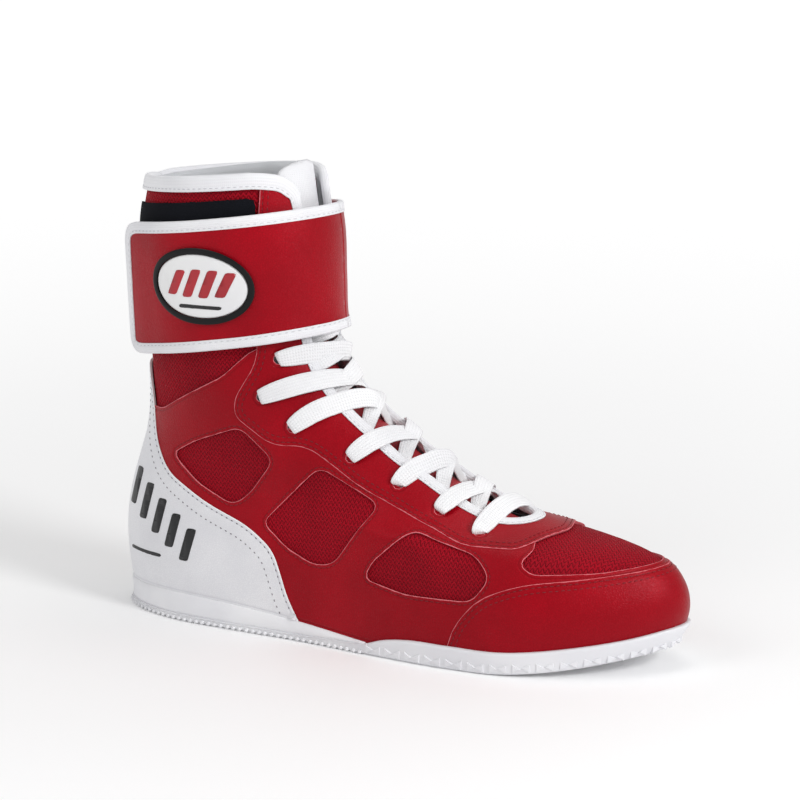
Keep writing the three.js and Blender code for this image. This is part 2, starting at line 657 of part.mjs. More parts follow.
// The lace's middle line for one half: up through an eyelet, over its facing and the tongue,
// under the other facing, and up through the next eyelet there.
function laceHalf(firstSide) {
  const route = [];
  const put = (place, off, width) =>
    route.push({ at: offFacets(place, off), normal: lastNormal(place.phi, place.z), width });
  let side = firstSide;
  for (let k = 0; k < EYELETS.length; k++) {
    const here = eyelet(k, side);
    for (const off of [laceUnder, (laceUnder + laceOver) / 2, laceOver]) put(here, off, LACE_IN_EYELET);
    if (k === EYELETS.length - 1) {
      for (const [share, lift, width] of [[0.06, 2, LACE_WIDTH], [0.1, 6, LACE_WIDTH], [0.1, 10, 3]])
        put({ phi: here.phi + (Math.PI - here.phi) * share, z: here.z + lift }, laceOver, width);
      break;
    }
    const way = wayBetween(here, eyelet(k + 1, -side));
    const over = (k % 2 === 0) === (side < 0);
    const hump = laceOver + (over ? laceCrossing : 0);
    const stops = [[0.09, laceOver], [0.2, laceOver], [0.31, laceOver], [0.42, hump], [0.54, hump],
      [0.65, laceUnder], [0.77, laceUnder], [0.88, laceUnder]];
    for (const [share, off] of stops) put(way(share), off, share > 0.8 ? LACE_IN_EYELET : LACE_WIDTH);
    side = -side;
  }
  return route;
}

// A flat ribbon through the stops of a route: its width lies across the route and in the surface.
function ribbon(route, thick) {
  let across;
  const rings = route.map(({ at, normal, width }, i) => {
    const before = route[Math.max(0, i - 1)].at;
    const after = route[Math.min(route.length - 1, i + 1)].at;
    const ahead = after.clone().sub(before).normalize();
    let sideways = normal.clone().cross(ahead);
    if (sideways.length() < 0.5 && across) sideways = across.clone();
    if (across && sideways.dot(across) < 0) sideways.negate();
    sideways.addScaledVector(ahead, -sideways.dot(ahead)).normalize();
    across = sideways;
    const lift = ahead.clone().cross(sideways);
    const corner = (a, b) =>
      at.clone().addScaledVector(sideways, (a * width) / 2).addScaledVector(lift, (b * thick) / 2);
    return [corner(-1, -1), corner(1, -1), corner(1, 1), corner(-1, 1)];
  });
  const { points, index } = fromRings(rings, { closedColumns: true });
  const end = points.length - 4;
  index.push(0, 2, 1, 0, 3, 2, end, end + 1, end + 2, end, end + 2, end + 3);
  return solid(geometryFrom(points, index));
}

function makeLacing() {
  const [lateral, medial] = [laceHalf(-1), laceHalf(1)];
  const way = wayBetween(eyelet(0, -1), eyelet(0, 1));
  const bar = [0.15, 0.3, 0.5, 0.7, 0.85].map((share) => {
    const place = way(share);
    return { at: offFacets(place, laceUnder), normal: lastNormal(place.phi, place.z), width: BAR_WIDTH };
  });
  add("lace", ribbon([...lateral.toReversed(), ...bar, ...medial], LACE_THICK), WHITE_TEXTILE, 0.9);
  for (const [name, half] of [["aglet_lateral", lateral], ["aglet_medial", medial]]) {
    const tip = half.at(-1).at;
    const ahead = tip.clone().sub(half.at(-2).at).normalize();
    const tube = new THREE.CylinderGeometry(AGLET_RADIUS, AGLET_RADIUS, AGLET_LENGTH, 8);
    tube.applyQuaternion(new THREE.Quaternion().setFromUnitVectors(upwards, ahead));
    tube.translate(...tip.clone().addScaledVector(ahead, AGLET_LENGTH / 2 + GAP).toArray());
    add(name, solid(tube), WHITE_TEXTILE, 0.3);
  }
}

// --- strap

const strapLow = (x) => 120.5 + 0.155 * x; // drawn heights of the strap's edges, by drawn x
const strapHigh = (x) => 182 + 0.118 * x;
const strapPhi = { tip: 0.4, hinge: 2.42, seam: 4.28, end: 5.1 }; // where the strap ends and folds

// A band between the strap's edges, seen from the side, drawn in from them by a distance.
function strapBand(inset, from = -30, to = 150) {
  const [a, b] = [from, to];
  return grow(graded([[a, strapLow(a)], [b, strapLow(b)], [b, strapHigh(b)], [a, strapHigh(a)]]), -inset);
}

// Heights that the strap's skins reach, and the rows of the boot's skins that lie between them.
const strapReach = [112 * grade[2], 204 * grade[2]];
const strapRows = strapReach.map((z) => rowHeights(Math.PI).findIndex((row) => row > z));

// Part of the strap between two of its ends and folds, with half the folding gap left at each fold.
function strapSkin(layer, first, last) {
  const half = HINGE_GAP / 2 / 36;
  const from = first === strapPhi.tip ? first : first + half;
  const to = last === strapPhi.end ? last : last - half;
  const columns = columnsWithin(from, to);
  const heights = (phi) => [strapReach[0], ...rowHeights(phi).slice(...strapRows), strapReach[1]];
  return skin(layer, { columns, heights });
}

function makeStrap() {
  const band = fromSide(rounded(strapBand(0), 0.5));
  const core = fromSide(rounded(strapBand(BINDING), 0.5));
  const inside = fromSide(rounded(strapBand(BINDING + GAP), 0.5));

  // The sewn end comes down from the strap's level to lie on the shaft.
  const sewn = (phi) => ease(strapPhi.seam, strapPhi.end, phi);
  const anchor = {
    inner: mesh.outer + GAP,
    outer: (phi) => wholeStrap.outer(phi) * (1 - sewn(phi)) + (mesh.outer + GAP + strapThick) * sewn(phi),
  };
  add("strap_anchor", strapSkin(anchor, strapPhi.seam, strapPhi.end).intersect(band), RED_LEATHER, 0.4);

  const front = (layer) => strapSkin(layer, strapPhi.hinge, strapPhi.seam);
  add("strap_front_face", front(strapFace).intersect(inside), RED_LEATHER, 0.4);
  add("strap_front_backing", front(strapBacking).intersect(inside), GREY_LINING, 0.95);
  const edges = front(wholeStrap).intersect(band).subtract(core);
  const [lower, upper] = [[90, 160], [160, 230]].map(([low, high]) =>
    edges.intersect(fromSide(rounded(graded([[-30, low], [150, low], [150, high], [-30, high]]), 0.5))),
  );
  add("strap_front_binding_top", upper, WHITE_TEXTILE, 0.85);
  add("strap_front_binding_bottom", lower, WHITE_TEXTILE, 0.85);

  const end = (offLast(strapPhi.tip, 155 * grade[2], wholeStrap.outer(strapPhi.tip)).x + 0.4) / grade[0];
  const tip = (layer) => strapSkin(layer, strapPhi.tip, strapPhi.hinge);
  const tipBand = fromSide(rounded(strapBand(0, end), 8));
  const tipCore = fromSide(rounded(strapBand(BINDING, end), 5));
  const tipInside = fromSide(rounded(strapBand(BINDING + GAP, end), 5));
  add("strap_tip_face", tip(strapFace).intersect(tipInside), RED_LEATHER, 0.4);
  add("strap_tip_backing", tip(strapBacking).intersect(tipInside), GREY_LINING, 0.95);
  add("strap_tip_binding", tip(wholeStrap).intersect(tipBand).subtract(tipCore), WHITE_TEXTILE, 0.85);

  const padOutline = graded([[32, 134], [84, 139], [84, 184], [32, 178]]);
  add("hook_pad", tip(hookPad).intersect(fromSide(rounded(padOutline, 4))), BLACK_TEXTILE, 1);
  const loopOutline = graded([[25, 132], [86, 137], [86, 198], [25, 197]]);
  const loops = skin(loopPad, { columns: columnsWithin(0.3, 2.5) });
  add("loop_pad", loops.intersect(fromSide(rounded(loopOutline, 3))), BLACK_TEXTILE, 1);
}

// An oval badge on the strap's free end: a raised ring round a plate.
function makeBadge() {
  const [x, z] = graded([[63, 160]])[0];
  const oval = (inset) => {
    const shape = new THREE.Shape();
    shape.absellipse(x, z, BADGE_HALF[0] - inset, BADGE_HALF[1] - inset, 0, 2 * Math.PI, false, 0);
    return solid(
      new THREE.ExtrudeGeometry(shape, { depth: FAR, bevelEnabled: false, curveSegments: 20 })
        .rotateX(Math.PI / 2),
    );
  };
  const layer = (thick) =>
    strapSkin(onStrap(strapThick + GAP, strapThick + GAP + thick), strapPhi.tip, strapPhi.hinge);
  const ring = layer(BADGE_RING_THICK).intersect(oval(0)).subtract(oval(BADGE_RING));
  add("badge_ring", ring, BLACK_TEXTILE, 0.4);
  add("badge_plate", layer(BADGE_PLATE_THICK).intersect(oval(BADGE_RING + GAP)), WHITE_LEATHER, 0.35);
}

makeSole();
makeUpper();
makeStiffeners();
makeBindings();
makeTongue();
makeLacing();
makeStrap();
makeBadge();

// The origin is on the ground under the middle of the boot's box.
const box = new THREE.Box3().setFromObject(boot);
const middle = box.getCenter(new THREE.Vector3());
boot.position.set(-middle.x, -middle.y, -box.min.z);

export default boot;
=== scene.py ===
# %% [markdown]
# # A boxing boot
# A right-foot high-top boxing boot: a leather and knit upper on a thin sole, laced up the instep and held
# by a wide ankle strap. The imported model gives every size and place; this lesson builds the looks on it.

import math

import bmesh
import bpy
import numpy as np
from mathutils import Matrix, Vector


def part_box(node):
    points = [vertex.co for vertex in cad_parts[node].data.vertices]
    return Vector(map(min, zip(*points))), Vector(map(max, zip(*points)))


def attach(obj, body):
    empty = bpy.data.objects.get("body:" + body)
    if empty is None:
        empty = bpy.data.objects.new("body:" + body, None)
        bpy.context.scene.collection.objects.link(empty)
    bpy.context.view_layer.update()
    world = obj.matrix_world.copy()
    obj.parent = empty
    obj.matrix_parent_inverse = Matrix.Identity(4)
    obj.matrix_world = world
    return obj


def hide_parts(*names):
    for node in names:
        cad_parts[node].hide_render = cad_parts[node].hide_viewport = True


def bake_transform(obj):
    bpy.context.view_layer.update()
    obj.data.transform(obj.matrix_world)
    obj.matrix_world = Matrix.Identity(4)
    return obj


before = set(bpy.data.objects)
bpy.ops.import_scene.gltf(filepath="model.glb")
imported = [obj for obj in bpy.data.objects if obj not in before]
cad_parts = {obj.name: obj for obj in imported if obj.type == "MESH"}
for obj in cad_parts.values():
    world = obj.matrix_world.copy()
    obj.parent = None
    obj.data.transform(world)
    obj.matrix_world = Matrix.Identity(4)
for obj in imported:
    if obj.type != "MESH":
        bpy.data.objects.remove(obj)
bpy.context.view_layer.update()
MM = 0.001

# %% [markdown]
# The camera comes first. It stands a little above the toe's height, on the outer side of the boot,
# far enough away for the flat look of a product picture.

# %% Camera
CAMERA_TURN, CAMERA_RISE, CAMERA_AWAY = math.radians(28), math.radians(11.2), 1.2
target = Vector((0.00262, -0.0016, 0.1086))
away = Vector((math.sin(CAMERA_TURN) * math.cos(CAMERA_RISE),
               -math.cos(CAMERA_TURN) * math.cos(CAMERA_RISE), math.sin(CAMERA_RISE)))
camera = bpy.data.objects.new("camera", bpy.data.cameras.new("camera"))
bpy.context.scene.collection.objects.link(camera)
camera.data.lens, camera.data.sensor_width, camera.data.clip_end = 119.25, 36, 500
camera.location = target + away * CAMERA_AWAY
camera.rotation_euler = (-away).to_track_quat("-Z", "Y").to_euler()
bpy.context.scene.camera = camera
print("camera at", [round(v, 3) for v in camera.location])

# %% [markdown]
# A shoe is built on a last, the foot-shaped form that its upper is pulled over. Here the last is a surface
# with two coordinates: phi runs round the boot from the heel (0) over the outer side to the toe (pi) and
# back, and z is the height. Every panel lies at its own distance from it, so the layers nest. The curves
# below are its profiles by height and its widths by distance from the heel, in millimetres.

# %% The last's curves
BACK = [(6, 6), (20, 3), (34, 1.5), (49, 2.5), (60, 5), (72, 9), (85, 13.5), (99, 16), (115, 16.5),
        (135, 15.5), (160, 14.5), (185, 14), (200, 17), (210, 20)]
FRONT = [(6, 274), (20, 283), (28, 284.5), (38, 282), (44, 277.5), (49, 270), (52, 261), (54.5, 249),
         (56.5, 235), (59, 221), (63, 206), (69, 191), (77, 176), (85, 161), (94, 148), (103, 135),
         (113, 123), (125, 114), (140, 109.5), (160, 108), (183, 107), (199, 104.5), (210, 103)]
FOOT_OUTER = [(0, 29), (38, 30), (67, 32), (117, 36), (156, 41.5), (190, 44.5), (215, 44), (240, 41),
              (262, 37), (285, 32)]
FOOT_INNER = [(0, 29), (67, 29), (117, 29), (156, 35), (190, 41), (215, 42), (240, 40), (262, 37),
              (285, 32)]
SHAFT_HALF = [(50, 30), (90, 32), (120, 33.5), (160, 35.5), (210, 37)]
HEEL_ROUND = [(6, 52), (60, 56), (100, 56), (150, 48), (210, 44)]
TOE_ROUND = [(6, 66), (28, 70), (44, 90), (56, 105), (70, 100), (90, 80), (115, 58), (150, 48), (210, 46)]
CENTRE = [(0, 0), (60, 0), (130, 2), (190, 3), (240, 4), (288, 8)]
WEDGE_TOP = [(0, 12.6), (60, 12.6), (99, 10), (125, 7.4), (150, 5)]
RIM_TOP = [(140, 3), (146, 3.4), (158, 7.5), (170, 9.6), (192, 10.2), (214, 10.2), (248, 13.9), (268, 17.2),
           (282, 20.4), (292, 22)]
ORIGIN = np.array((-143.981, -1.602, 0.0))  # the drawn heel point, in the row frame


def curve(knots, t):
    """A smooth curve through the knots, level outside them."""
    places, values = np.array(knots, float).T
    steps = np.diff(places)
    rise = np.diff(values) / steps
    slope = np.concatenate(([rise[0]], (rise[:-1] * steps[1:] + rise[1:] * steps[:-1])
                            / (steps[:-1] + steps[1:]), [rise[-1]]))
    t = np.clip(np.asarray(t, float), places[0], places[-1])
    i = np.clip(np.searchsorted(places, t, side="right") - 1, 0, len(steps) - 1)
    h, u = steps[i], (t - places[i]) / steps[i]
    return ((2 * u ** 3 - 3 * u ** 2 + 1) * values[i] + (u ** 3 - 2 * u ** 2 + u) * h * slope[i]
            + (3 * u ** 2 - 2 * u ** 3) * values[i + 1] + (u ** 3 - u ** 2) * h * slope[i + 1])


def ease(low, high, t):
    u = np.clip((np.asarray(t, float) - low) / (high - low), 0, 1)
    return u * u * (3 - 2 * u)


def round_end(t):
    return np.sqrt(1 - (1 - np.clip(t, 0, 1)) ** 2)


def last(phi, z):
    """Points of the last, as drawn, in millimetres."""
    phi, z = np.broadcast_arrays(np.asarray(phi, float), np.asarray(z, float))
    back = curve(BACK, z)
    span = curve(FRONT, z) - back
    along = (1 - np.cos(phi)) / 2
    x = back + along * span
    outer = np.sin(phi) >= 0
    foot = np.where(outer, curve(FOOT_OUTER, x), curve(FOOT_INNER, x))
    foot = foot * (1 - 0.1 * np.clip((z - 14) / 50, 0, 1) ** 1.5)
    shaft = ease(50, 125, z)
    half = foot * (1 - shaft) + curve(SHAFT_HALF, z) * shaft
    half = half * round_end(along * span / np.minimum(curve(HEEL_ROUND, z), 0.55 * span))
    half = half * round_end((1 - along) * span / np.minimum(curve(TOE_ROUND, z), 0.55 * span))
    return np.stack((x, curve(CENTRE, x) + np.where(outer, -half, half), z), -1)


print("the last is", round(float(last(math.pi, 28.0)[0] - last(0.0, 34.0)[0])), "mm long")

# %% [markdown]
# Any layer of the boot is found from the last: a place on it, the way outwards there, and a distance.

# %% Distances from the last
def unit(v):
    return v / np.maximum(np.linalg.norm(v, axis=-1, keepdims=True), 1e-9)


def outward(phi, z):
    around = last(phi + 0.01, z) - last(phi - 0.01, z)
    up = last(phi, np.asarray(z) + 0.5) - last(phi, np.asarray(z) - 0.5)
    return unit(np.cross(around, up))


def off(phi, z, distance):
    """Points at a distance outside the last, in the row frame, in metres."""
    shift = np.asarray(distance, float)
    return (last(phi, z) + outward(phi, z) * shift[..., None] + ORIGIN) * MM


def phi_at(x, z):
    back = curve(BACK, z)
    return np.arccos(1 - 2 * np.clip((x - back) / (curve(FRONT, z) - back), 0, 1))


print("the heel's back is at", off(0.0, 34.0, 0.0).round(4))

# %% [markdown]
# The sole's own lines are heights by distance from the heel. The forefoot lifts off the ground towards
# the toe, which shoemakers call toe spring.

# %% Heights along the sole
def sole_bottom(x):
    return 12 * np.clip((x - 205) / 82, 0, 1) ** 1.7


def sole_floor(x):
    return sole_bottom(x) + 3 + 1.6 * ease(110, 150, x)


def upper_edge(x):
    return np.maximum(sole_floor(x), np.where(x < 151, curve(WEDGE_TOP, x), 0)) + 0.3


def rim_top(x):
    return np.maximum(curve(RIM_TOP, x), sole_floor(x) + 0.2)


def height_at(phi, law):
    """The height that a law of x gives, found at each phi."""
    z = law(last(phi, 10.0)[..., 0])
    for _ in range(5):
        z = law(last(phi, z)[..., 0])
    return z


print("the toe's tip is", round(float(sole_bottom(287.0)), 1), "mm off the ground")

# %% [markdown]
# A pattern cutter draws each panel flat. These helpers draw an outline seen from the side, round its
# corners, carry it on to the last, and mirror it to the other side.

# %% Drawing on the last
def rounded(points, radius):
    """An open line with its inner corners rounded, in steps of about a millimetre."""
    points = [np.array(p, float) for p in points]
    line = [points[0]]
    for before, here, after in zip(points, points[1:], points[2:]):
        a, b = before - here, after - here
        reach = min(radius, np.linalg.norm(a) / 2.1, np.linalg.norm(b) / 2.1)
        start, end = here + a / np.linalg.norm(a) * reach, here + b / np.linalg.norm(b) * reach
        for t in np.linspace(0, 1, 7):
            line.append((1 - t) ** 2 * start + 2 * t * (1 - t) * here + t * t * end)
    line.append(points[-1])
    return even(np.array(line), 1.0)


def even(line, step, shape=None):
    """The line cut again into equal steps, measured on shape where it is given."""
    shape = line if shape is None else shape
    run = np.concatenate(([0], np.cumsum(np.linalg.norm(np.diff(shape, axis=0), axis=1))))
    keep = np.concatenate(([True], np.diff(run) > 1e-9))
    run, line = run[keep], line[keep]
    stops = np.linspace(0, run[-1], max(2, int(round(run[-1] / step)) + 1))
    return np.stack([np.interp(stops, run, line[:, k]) for k in range(line.shape[1])], -1)


def on_last(points, radius=0.1):
    """A line seen from the outer side, [x, height], as [phi, height]."""
    line = rounded(points, radius)
    inside = (line[:, 0] < curve(FRONT, line[:, 1]) - 0.2) & (line[:, 0] > curve(BACK, line[:, 1]) + 0.2)
    line = line[inside]
    return np.stack((phi_at(line[:, 0], line[:, 1]), line[:, 1]), -1)


def across_toe(line):
    """A line on the outer side and its mirror on the inner side, joined over the toe."""
    other = line[::-1].copy()
    other[:, 0] = 2 * math.pi - other[:, 0]
    return np.vstack((line, other))


def across_heel(line):
    other = line[::-1].copy()
    other[:, 0] = -other[:, 0]
    return np.vstack((line, other))


print("outlines can be drawn")

# %% [markdown]
# Seams run beside an edge at a fixed distance. So a line is cut again into equal steps over the real
# surface, and moved sideways by stepping off it and settling back on the last.

# %% Lines beside lines
def recut(line, step):
    """A [phi, height] line in equal steps over the real surface."""
    fine = even(line, 0.02, np.stack((line[:, 0] * 50, line[:, 1]), -1)) if len(line) < 12 else line
    return even(fine, step, last(fine[:, 0], fine[:, 1]))


def settle(line, goal):
    """The places of the last nearest to some points, starting from a line."""
    phi, z = line[:, 0].copy(), line[:, 1].copy()
    for _ in range(4):
        a = (last(phi + 0.004, z) - last(phi - 0.004, z)) / 0.008
        b = (last(phi, z + 0.2) - last(phi, z - 0.2)) / 0.4
        miss = goal - last(phi, z)
        aa, ab, bb = (a * a).sum(-1), (a * b).sum(-1), (b * b).sum(-1)
        ma, mb = (miss * a).sum(-1), (miss * b).sum(-1)
        det = aa * bb - ab * ab + 1e-6
        phi += np.clip((ma * bb - mb * ab) / det, -0.2, 0.2)
        z += np.clip((mb * aa - ma * ab) / det, -4, 4)
    return np.stack((phi, z), -1)


def beside(line, distance, closed=False):
    """The line moved sideways over the surface, to its left as seen from outside."""
    at = last(line[:, 0], line[:, 1])
    if closed:
        ahead = np.roll(at, -1, 0) - np.roll(at, 1, 0)
    else:
        ahead = np.gradient(at, axis=0)
    left = unit(np.cross(outward(line[:, 0], line[:, 1]), unit(ahead)))
    return settle(line, at + left * np.asarray(distance, float)[..., None])


def turned(loop, left=True):
    """A closed loop with its inside on the left, or on the right for a hole."""
    x, y = loop[:, 0] * 50, loop[:, 1]
    area = ((x * np.roll(y, -1)) - (np.roll(x, -1) * y)).sum()
    return loop if (area > 0) == left else loop[::-1]


print("lines can be moved sideways")

# %% [markdown]
# Shared finishes are built once as node groups, with sockets that each material sets for itself. The
# groups give out heights and masks only; the shader stays in the material.

# %% Node helpers
class Wiring:
    """Short words for adding nodes to a tree."""

    def __init__(self, tree):
        self.tree = tree

    def node(self, kind, inputs=(), **settings):
        made = self.tree.nodes.new("ShaderNode" + kind)
        for name, value in settings.items():
            setattr(made, name, value)
        for name, value in dict(inputs).items():
            self.put(made.inputs[name], value)
        return made

    def put(self, socket, value):
        """Links another node's output to a socket, or sets a plain value on it."""
        if isinstance(value, bpy.types.NodeSocket):
            self.tree.links.new(value, socket)
        else:
            socket.default_value = value

    def math(self, operation, *values):
        made = self.node("Math", operation=operation)
        for socket, value in zip(made.inputs, values):
            self.put(socket, value)
        return made.outputs[0]

    def mix(self, share, a, b):
        made = self.node("Mix", data_type="RGBA")
        for place, value in ((0, share), (6, a), (7, b)):
            self.put(made.inputs[place], value)
        return made.outputs[2]

    def band(self, value, low, high, from_value=0.0, to_value=1.0):
        made = self.node("MapRange", {"Value": value, "From Min": low, "From Max": high,
                                      "To Min": from_value, "To Max": to_value},
                         interpolation_type="SMOOTHSTEP")
        return made.outputs[0]


def new_group(name, inputs, outputs):
    tree = bpy.data.node_groups.new(name, "ShaderNodeTree")
    for label, kind, value in inputs:
        socket = tree.interface.new_socket(label, in_out="INPUT", socket_type="NodeSocket" + kind)
        if value is not None:
            socket.default_value = value
    for label, kind in outputs:
        tree.interface.new_socket(label, in_out="OUTPUT", socket_type="NodeSocket" + kind)
    return tree, Wiring(tree), tree.nodes.new("NodeGroupInput"), tree.nodes.new("NodeGroupOutput")


print("node helpers are ready")

# %% [markdown]
# Leather grain is a net of small rounded cells with fine creases between them. Voronoi cells give the
# pebbles, and a wide noise makes some areas smoother, as where the hide was stretched over the last.

# %% Group: grain
grain_group, w, given, result = new_group(
    "grain", [("Vector", "Vector", None), ("Cells per metre", "Float", 900.0), ("Smoothness", "Float", 0.4)],
    [("Height", "Float"), ("Creases", "Float")])
cells = w.node("TexVoronoi", {"Vector": given.outputs[0], "Scale": given.outputs[1], "Randomness": 0.9},
               feature="DISTANCE_TO_EDGE")
pebble = w.band(cells.outputs["Distance"], 0.0, 0.28)
fine = w.node("TexNoise", {"Vector": given.outputs[0], "Scale": w.math("MULTIPLY", given.outputs[1], 2.1),
                           "Detail": 2.0})
wide = w.node("TexNoise", {"Vector": given.outputs[0], "Scale": 38.0, "Detail": 2.0})
rough = w.math("MULTIPLY", w.band(wide.outputs["Fac"], 0.3, 0.7, 0.55, 1.0),
               w.math("SUBTRACT", 1.0, given.outputs[2]))
height = w.math("ADD", w.math("MULTIPLY", pebble, rough), w.math("MULTIPLY", fine.outputs["Fac"], 0.25))
grain_group.links.new(height, result.inputs["Height"])
# The creases mask darkens the grain's creases in the leather's colour: painted shade.
grain_group.links.new(w.math("SUBTRACT", 1.0, pebble), result.inputs["Creases"])
print("grain:", len(grain_group.nodes), "nodes")

# %% [markdown]
# A cut edge of coated leather shows its paler core; the pale line there also stands for a painted highlight
# along the rounded edge. The seam beside it lies in a shallow groove, darkened with painted shade. Each panel
# carries an attribute, seam, that says how many millimetres a point is from its cut edge.

# %% Group: pale edge and painted groove shade
edge_and_groove_group, w, given, result = new_group(
    "pale_edge_and_groove_shade", [("Groove at", "Float", 1.6), ("Edge width", "Float", 0.3)],
    [("Edge", "Float"), ("Groove", "Float")])
seam = w.node("Attribute", attribute_name="seam").outputs["Fac"]
uneven_width = w.node("TexNoise", {"Vector": w.node("TexCoord").outputs["Object"], "Scale": 260.0, "Detail": 3.0})
# The pale edge line is the cut leather's core and also a painted highlight along the rounded edge; noise
# varies its width.
width = w.math("MULTIPLY", given.outputs[1], w.band(uneven_width.outputs["Fac"], 0.3, 0.7, 0.5, 1.5))
edge = w.math("LESS_THAN", seam, width)
from_groove = w.math("ABSOLUTE", w.math("SUBTRACT", seam, given.outputs[0]))
# This mask darkens the seam groove in the leather's colour: painted shade.
groove = w.band(from_groove, 0.0, 0.5, 1.0, 0.0)
edge_and_groove_group.links.new(edge, result.inputs["Edge"])
edge_and_groove_group.links.new(groove, result.inputs["Groove"])
print("pale edge and groove shade:", len(edge_and_groove_group.nodes), "nodes")

# %% [markdown]
# Dust and handling leave every surface slightly uneven. One group gives a slow tone change that all the
# materials use, each with its own size.

# %% Group: tone
tone_group, w, given, result = new_group(
    "tone", [("Patches per metre", "Float", 25.0), ("Specks per metre", "Float", 500.0)],
    [("Patches", "Float"), ("Specks", "Float")])
place = w.node("TexCoord").outputs["Object"]
patches = w.node("TexNoise", {"Vector": place, "Scale": given.outputs[0], "Detail": 3.0})
specks = w.node("TexNoise", {"Vector": place, "Scale": given.outputs[1], "Detail": 2.0})
tone_group.links.new(w.band(patches.outputs["Fac"], 0.3, 0.7), result.inputs["Patches"])
tone_group.links.new(specks.outputs["Fac"], result.inputs["Specks"])
print("tone:", len(tone_group.nodes), "nodes")

# %% [markdown]
# Textiles follow the cloth, so they read a UV map laid out in metres. One group draws knit, with wavy
# courses of loops; another draws the close ribs of a woven tape or lace.

# %% Groups: knit and ribs
knit_group, w, given, result = new_group(
    "knit", [("Course height", "Float", 0.0023), ("Loop width", "Float", 0.0021)],
    [("Height", "Float"), ("Holes", "Float")])
uv = w.node("SeparateXYZ", {"Vector": w.node("UVMap", uv_map="cloth").outputs["UV"]})
across = w.math("MULTIPLY", w.math("DIVIDE", uv.outputs["X"], given.outputs[1]), 2 * math.pi)
wave = w.math("MULTIPLY", w.math("SINE", across), 0.34)
rows = w.math("ADD", w.math("DIVIDE", uv.outputs["Y"], given.outputs[0]), wave)
course = w.math("ABSOLUTE", w.math("SINE", w.math("MULTIPLY", rows, math.pi)))
loops = w.math("ABSOLUTE", w.math("SINE", w.math("MULTIPLY", across, 0.5)))
height = w.math("ADD", w.math("MULTIPLY", course, 0.75), w.math("MULTIPLY", loops, 0.25))
knit_group.links.new(height, result.inputs["Height"])
knit_group.links.new(w.band(course, 0.0, 0.45, 1.0, 0.0), result.inputs["Holes"])

ribs_group, w, given, result = new_group(
    "ribs", [("Rib width", "Float", 0.0011), ("Pick length", "Float", 0.0009)],
    [("Height", "Float"), ("Gaps", "Float")])
uv = w.node("SeparateXYZ", {"Vector": w.node("UVMap", uv_map="cloth").outputs["UV"]})
rib = w.math("ABSOLUTE", w.math("SINE", w.math("MULTIPLY", w.math(
    "DIVIDE", uv.outputs["Y"], given.outputs[0]), math.pi)))
picks = w.math("ABSOLUTE", w.math("SINE", w.math("MULTIPLY", w.math("ADD", w.math(
    "DIVIDE", uv.outputs["X"], given.outputs[1]), w.math("MULTIPLY", rib, 0.35)), math.pi)))
height = w.math("ADD", w.math("MULTIPLY", rib, 0.65), w.math("MULTIPLY", picks, 0.35))
ribs_group.links.new(height, result.inputs["Height"])
ribs_group.links.new(w.band(height, 0.0, 0.4, 1.0, 0.0), result.inputs["Gaps"])
print("node groups:", [g.name for g in bpy.data.node_groups])

# %% [markdown]
# Three kinds of material cover the boot. Leather has grain with its creases darkened as painted shade, a
# paler cut edge that also stands for a painted highlight, and a groove darkened with painted shade. Cloth has
# knit or ribs. Moulded goods such as rubber have only fine speckle and slow tone.

# %% Makers of materials
def start_material(name, **sockets):
    material = bpy.data.materials.new(name)
    material.use_nodes = True
    wiring = Wiring(material.node_tree)
    shader = material.node_tree.nodes["Principled BSDF"]
    for label, value in sockets.items():
        shader.inputs[label.replace("_", " ")].default_value = value
    return material, wiring, shader


def use(wiring, group, **values):
    made = wiring.node("Group")
    made.node_tree = group
    for label, value in values.items():
        wiring.put(made.inputs[label.replace("_", " ")], value)
    return made


def lift(wiring, shader, height, millimetres, strength=1.0):
    bump = wiring.node("Bump", {"Height": height, "Distance": millimetres * MM, "Strength": strength})
    wiring.tree.links.new(bump.outputs["Normal"], shader.inputs["Normal"])


def leather(name, colour, deep, edge_core_and_highlight, roughness=0.42, cells=900.0, depth=0.1, smoothness=0.35, **sockets):
    material, w, shader = start_material(name, **sockets)
    grain = use(w, grain_group, Vector=w.node("TexCoord").outputs["Object"], Cells_per_metre=cells,
                Smoothness=smoothness)
    edge_and_groove, tone = use(w, edge_and_groove_group), use(w, tone_group)
    base = w.mix(w.math("MULTIPLY", tone.outputs["Patches"], 0.5), colour, deep)
    # Painted shade: the grain's creases are darkened towards the deep colour.
    base = w.mix(w.math("MULTIPLY", grain.outputs["Creases"], 0.35), base, deep)
    # Painted shade: the seam groove is darkened towards the deep colour.
    base = w.mix(w.math("MULTIPLY", edge_and_groove.outputs["Groove"], 0.75), base, deep)
    # The pale cut edge: the leather's core, and also a painted highlight along the edge.
    base = w.mix(w.math("MULTIPLY", edge_and_groove.outputs["Edge"], 0.8), base, edge_core_and_highlight)
    w.tree.links.new(base, shader.inputs["Base Color"])
    rough = w.math("ADD", roughness - 0.06, w.math("MULTIPLY", tone.outputs["Specks"], 0.12))
    w.tree.links.new(w.math("ADD", rough, w.math("MULTIPLY", edge_and_groove.outputs["Edge"], 0.3)),
                     shader.inputs["Roughness"])
    lift(w, shader, grain.outputs["Height"], depth)
    return material


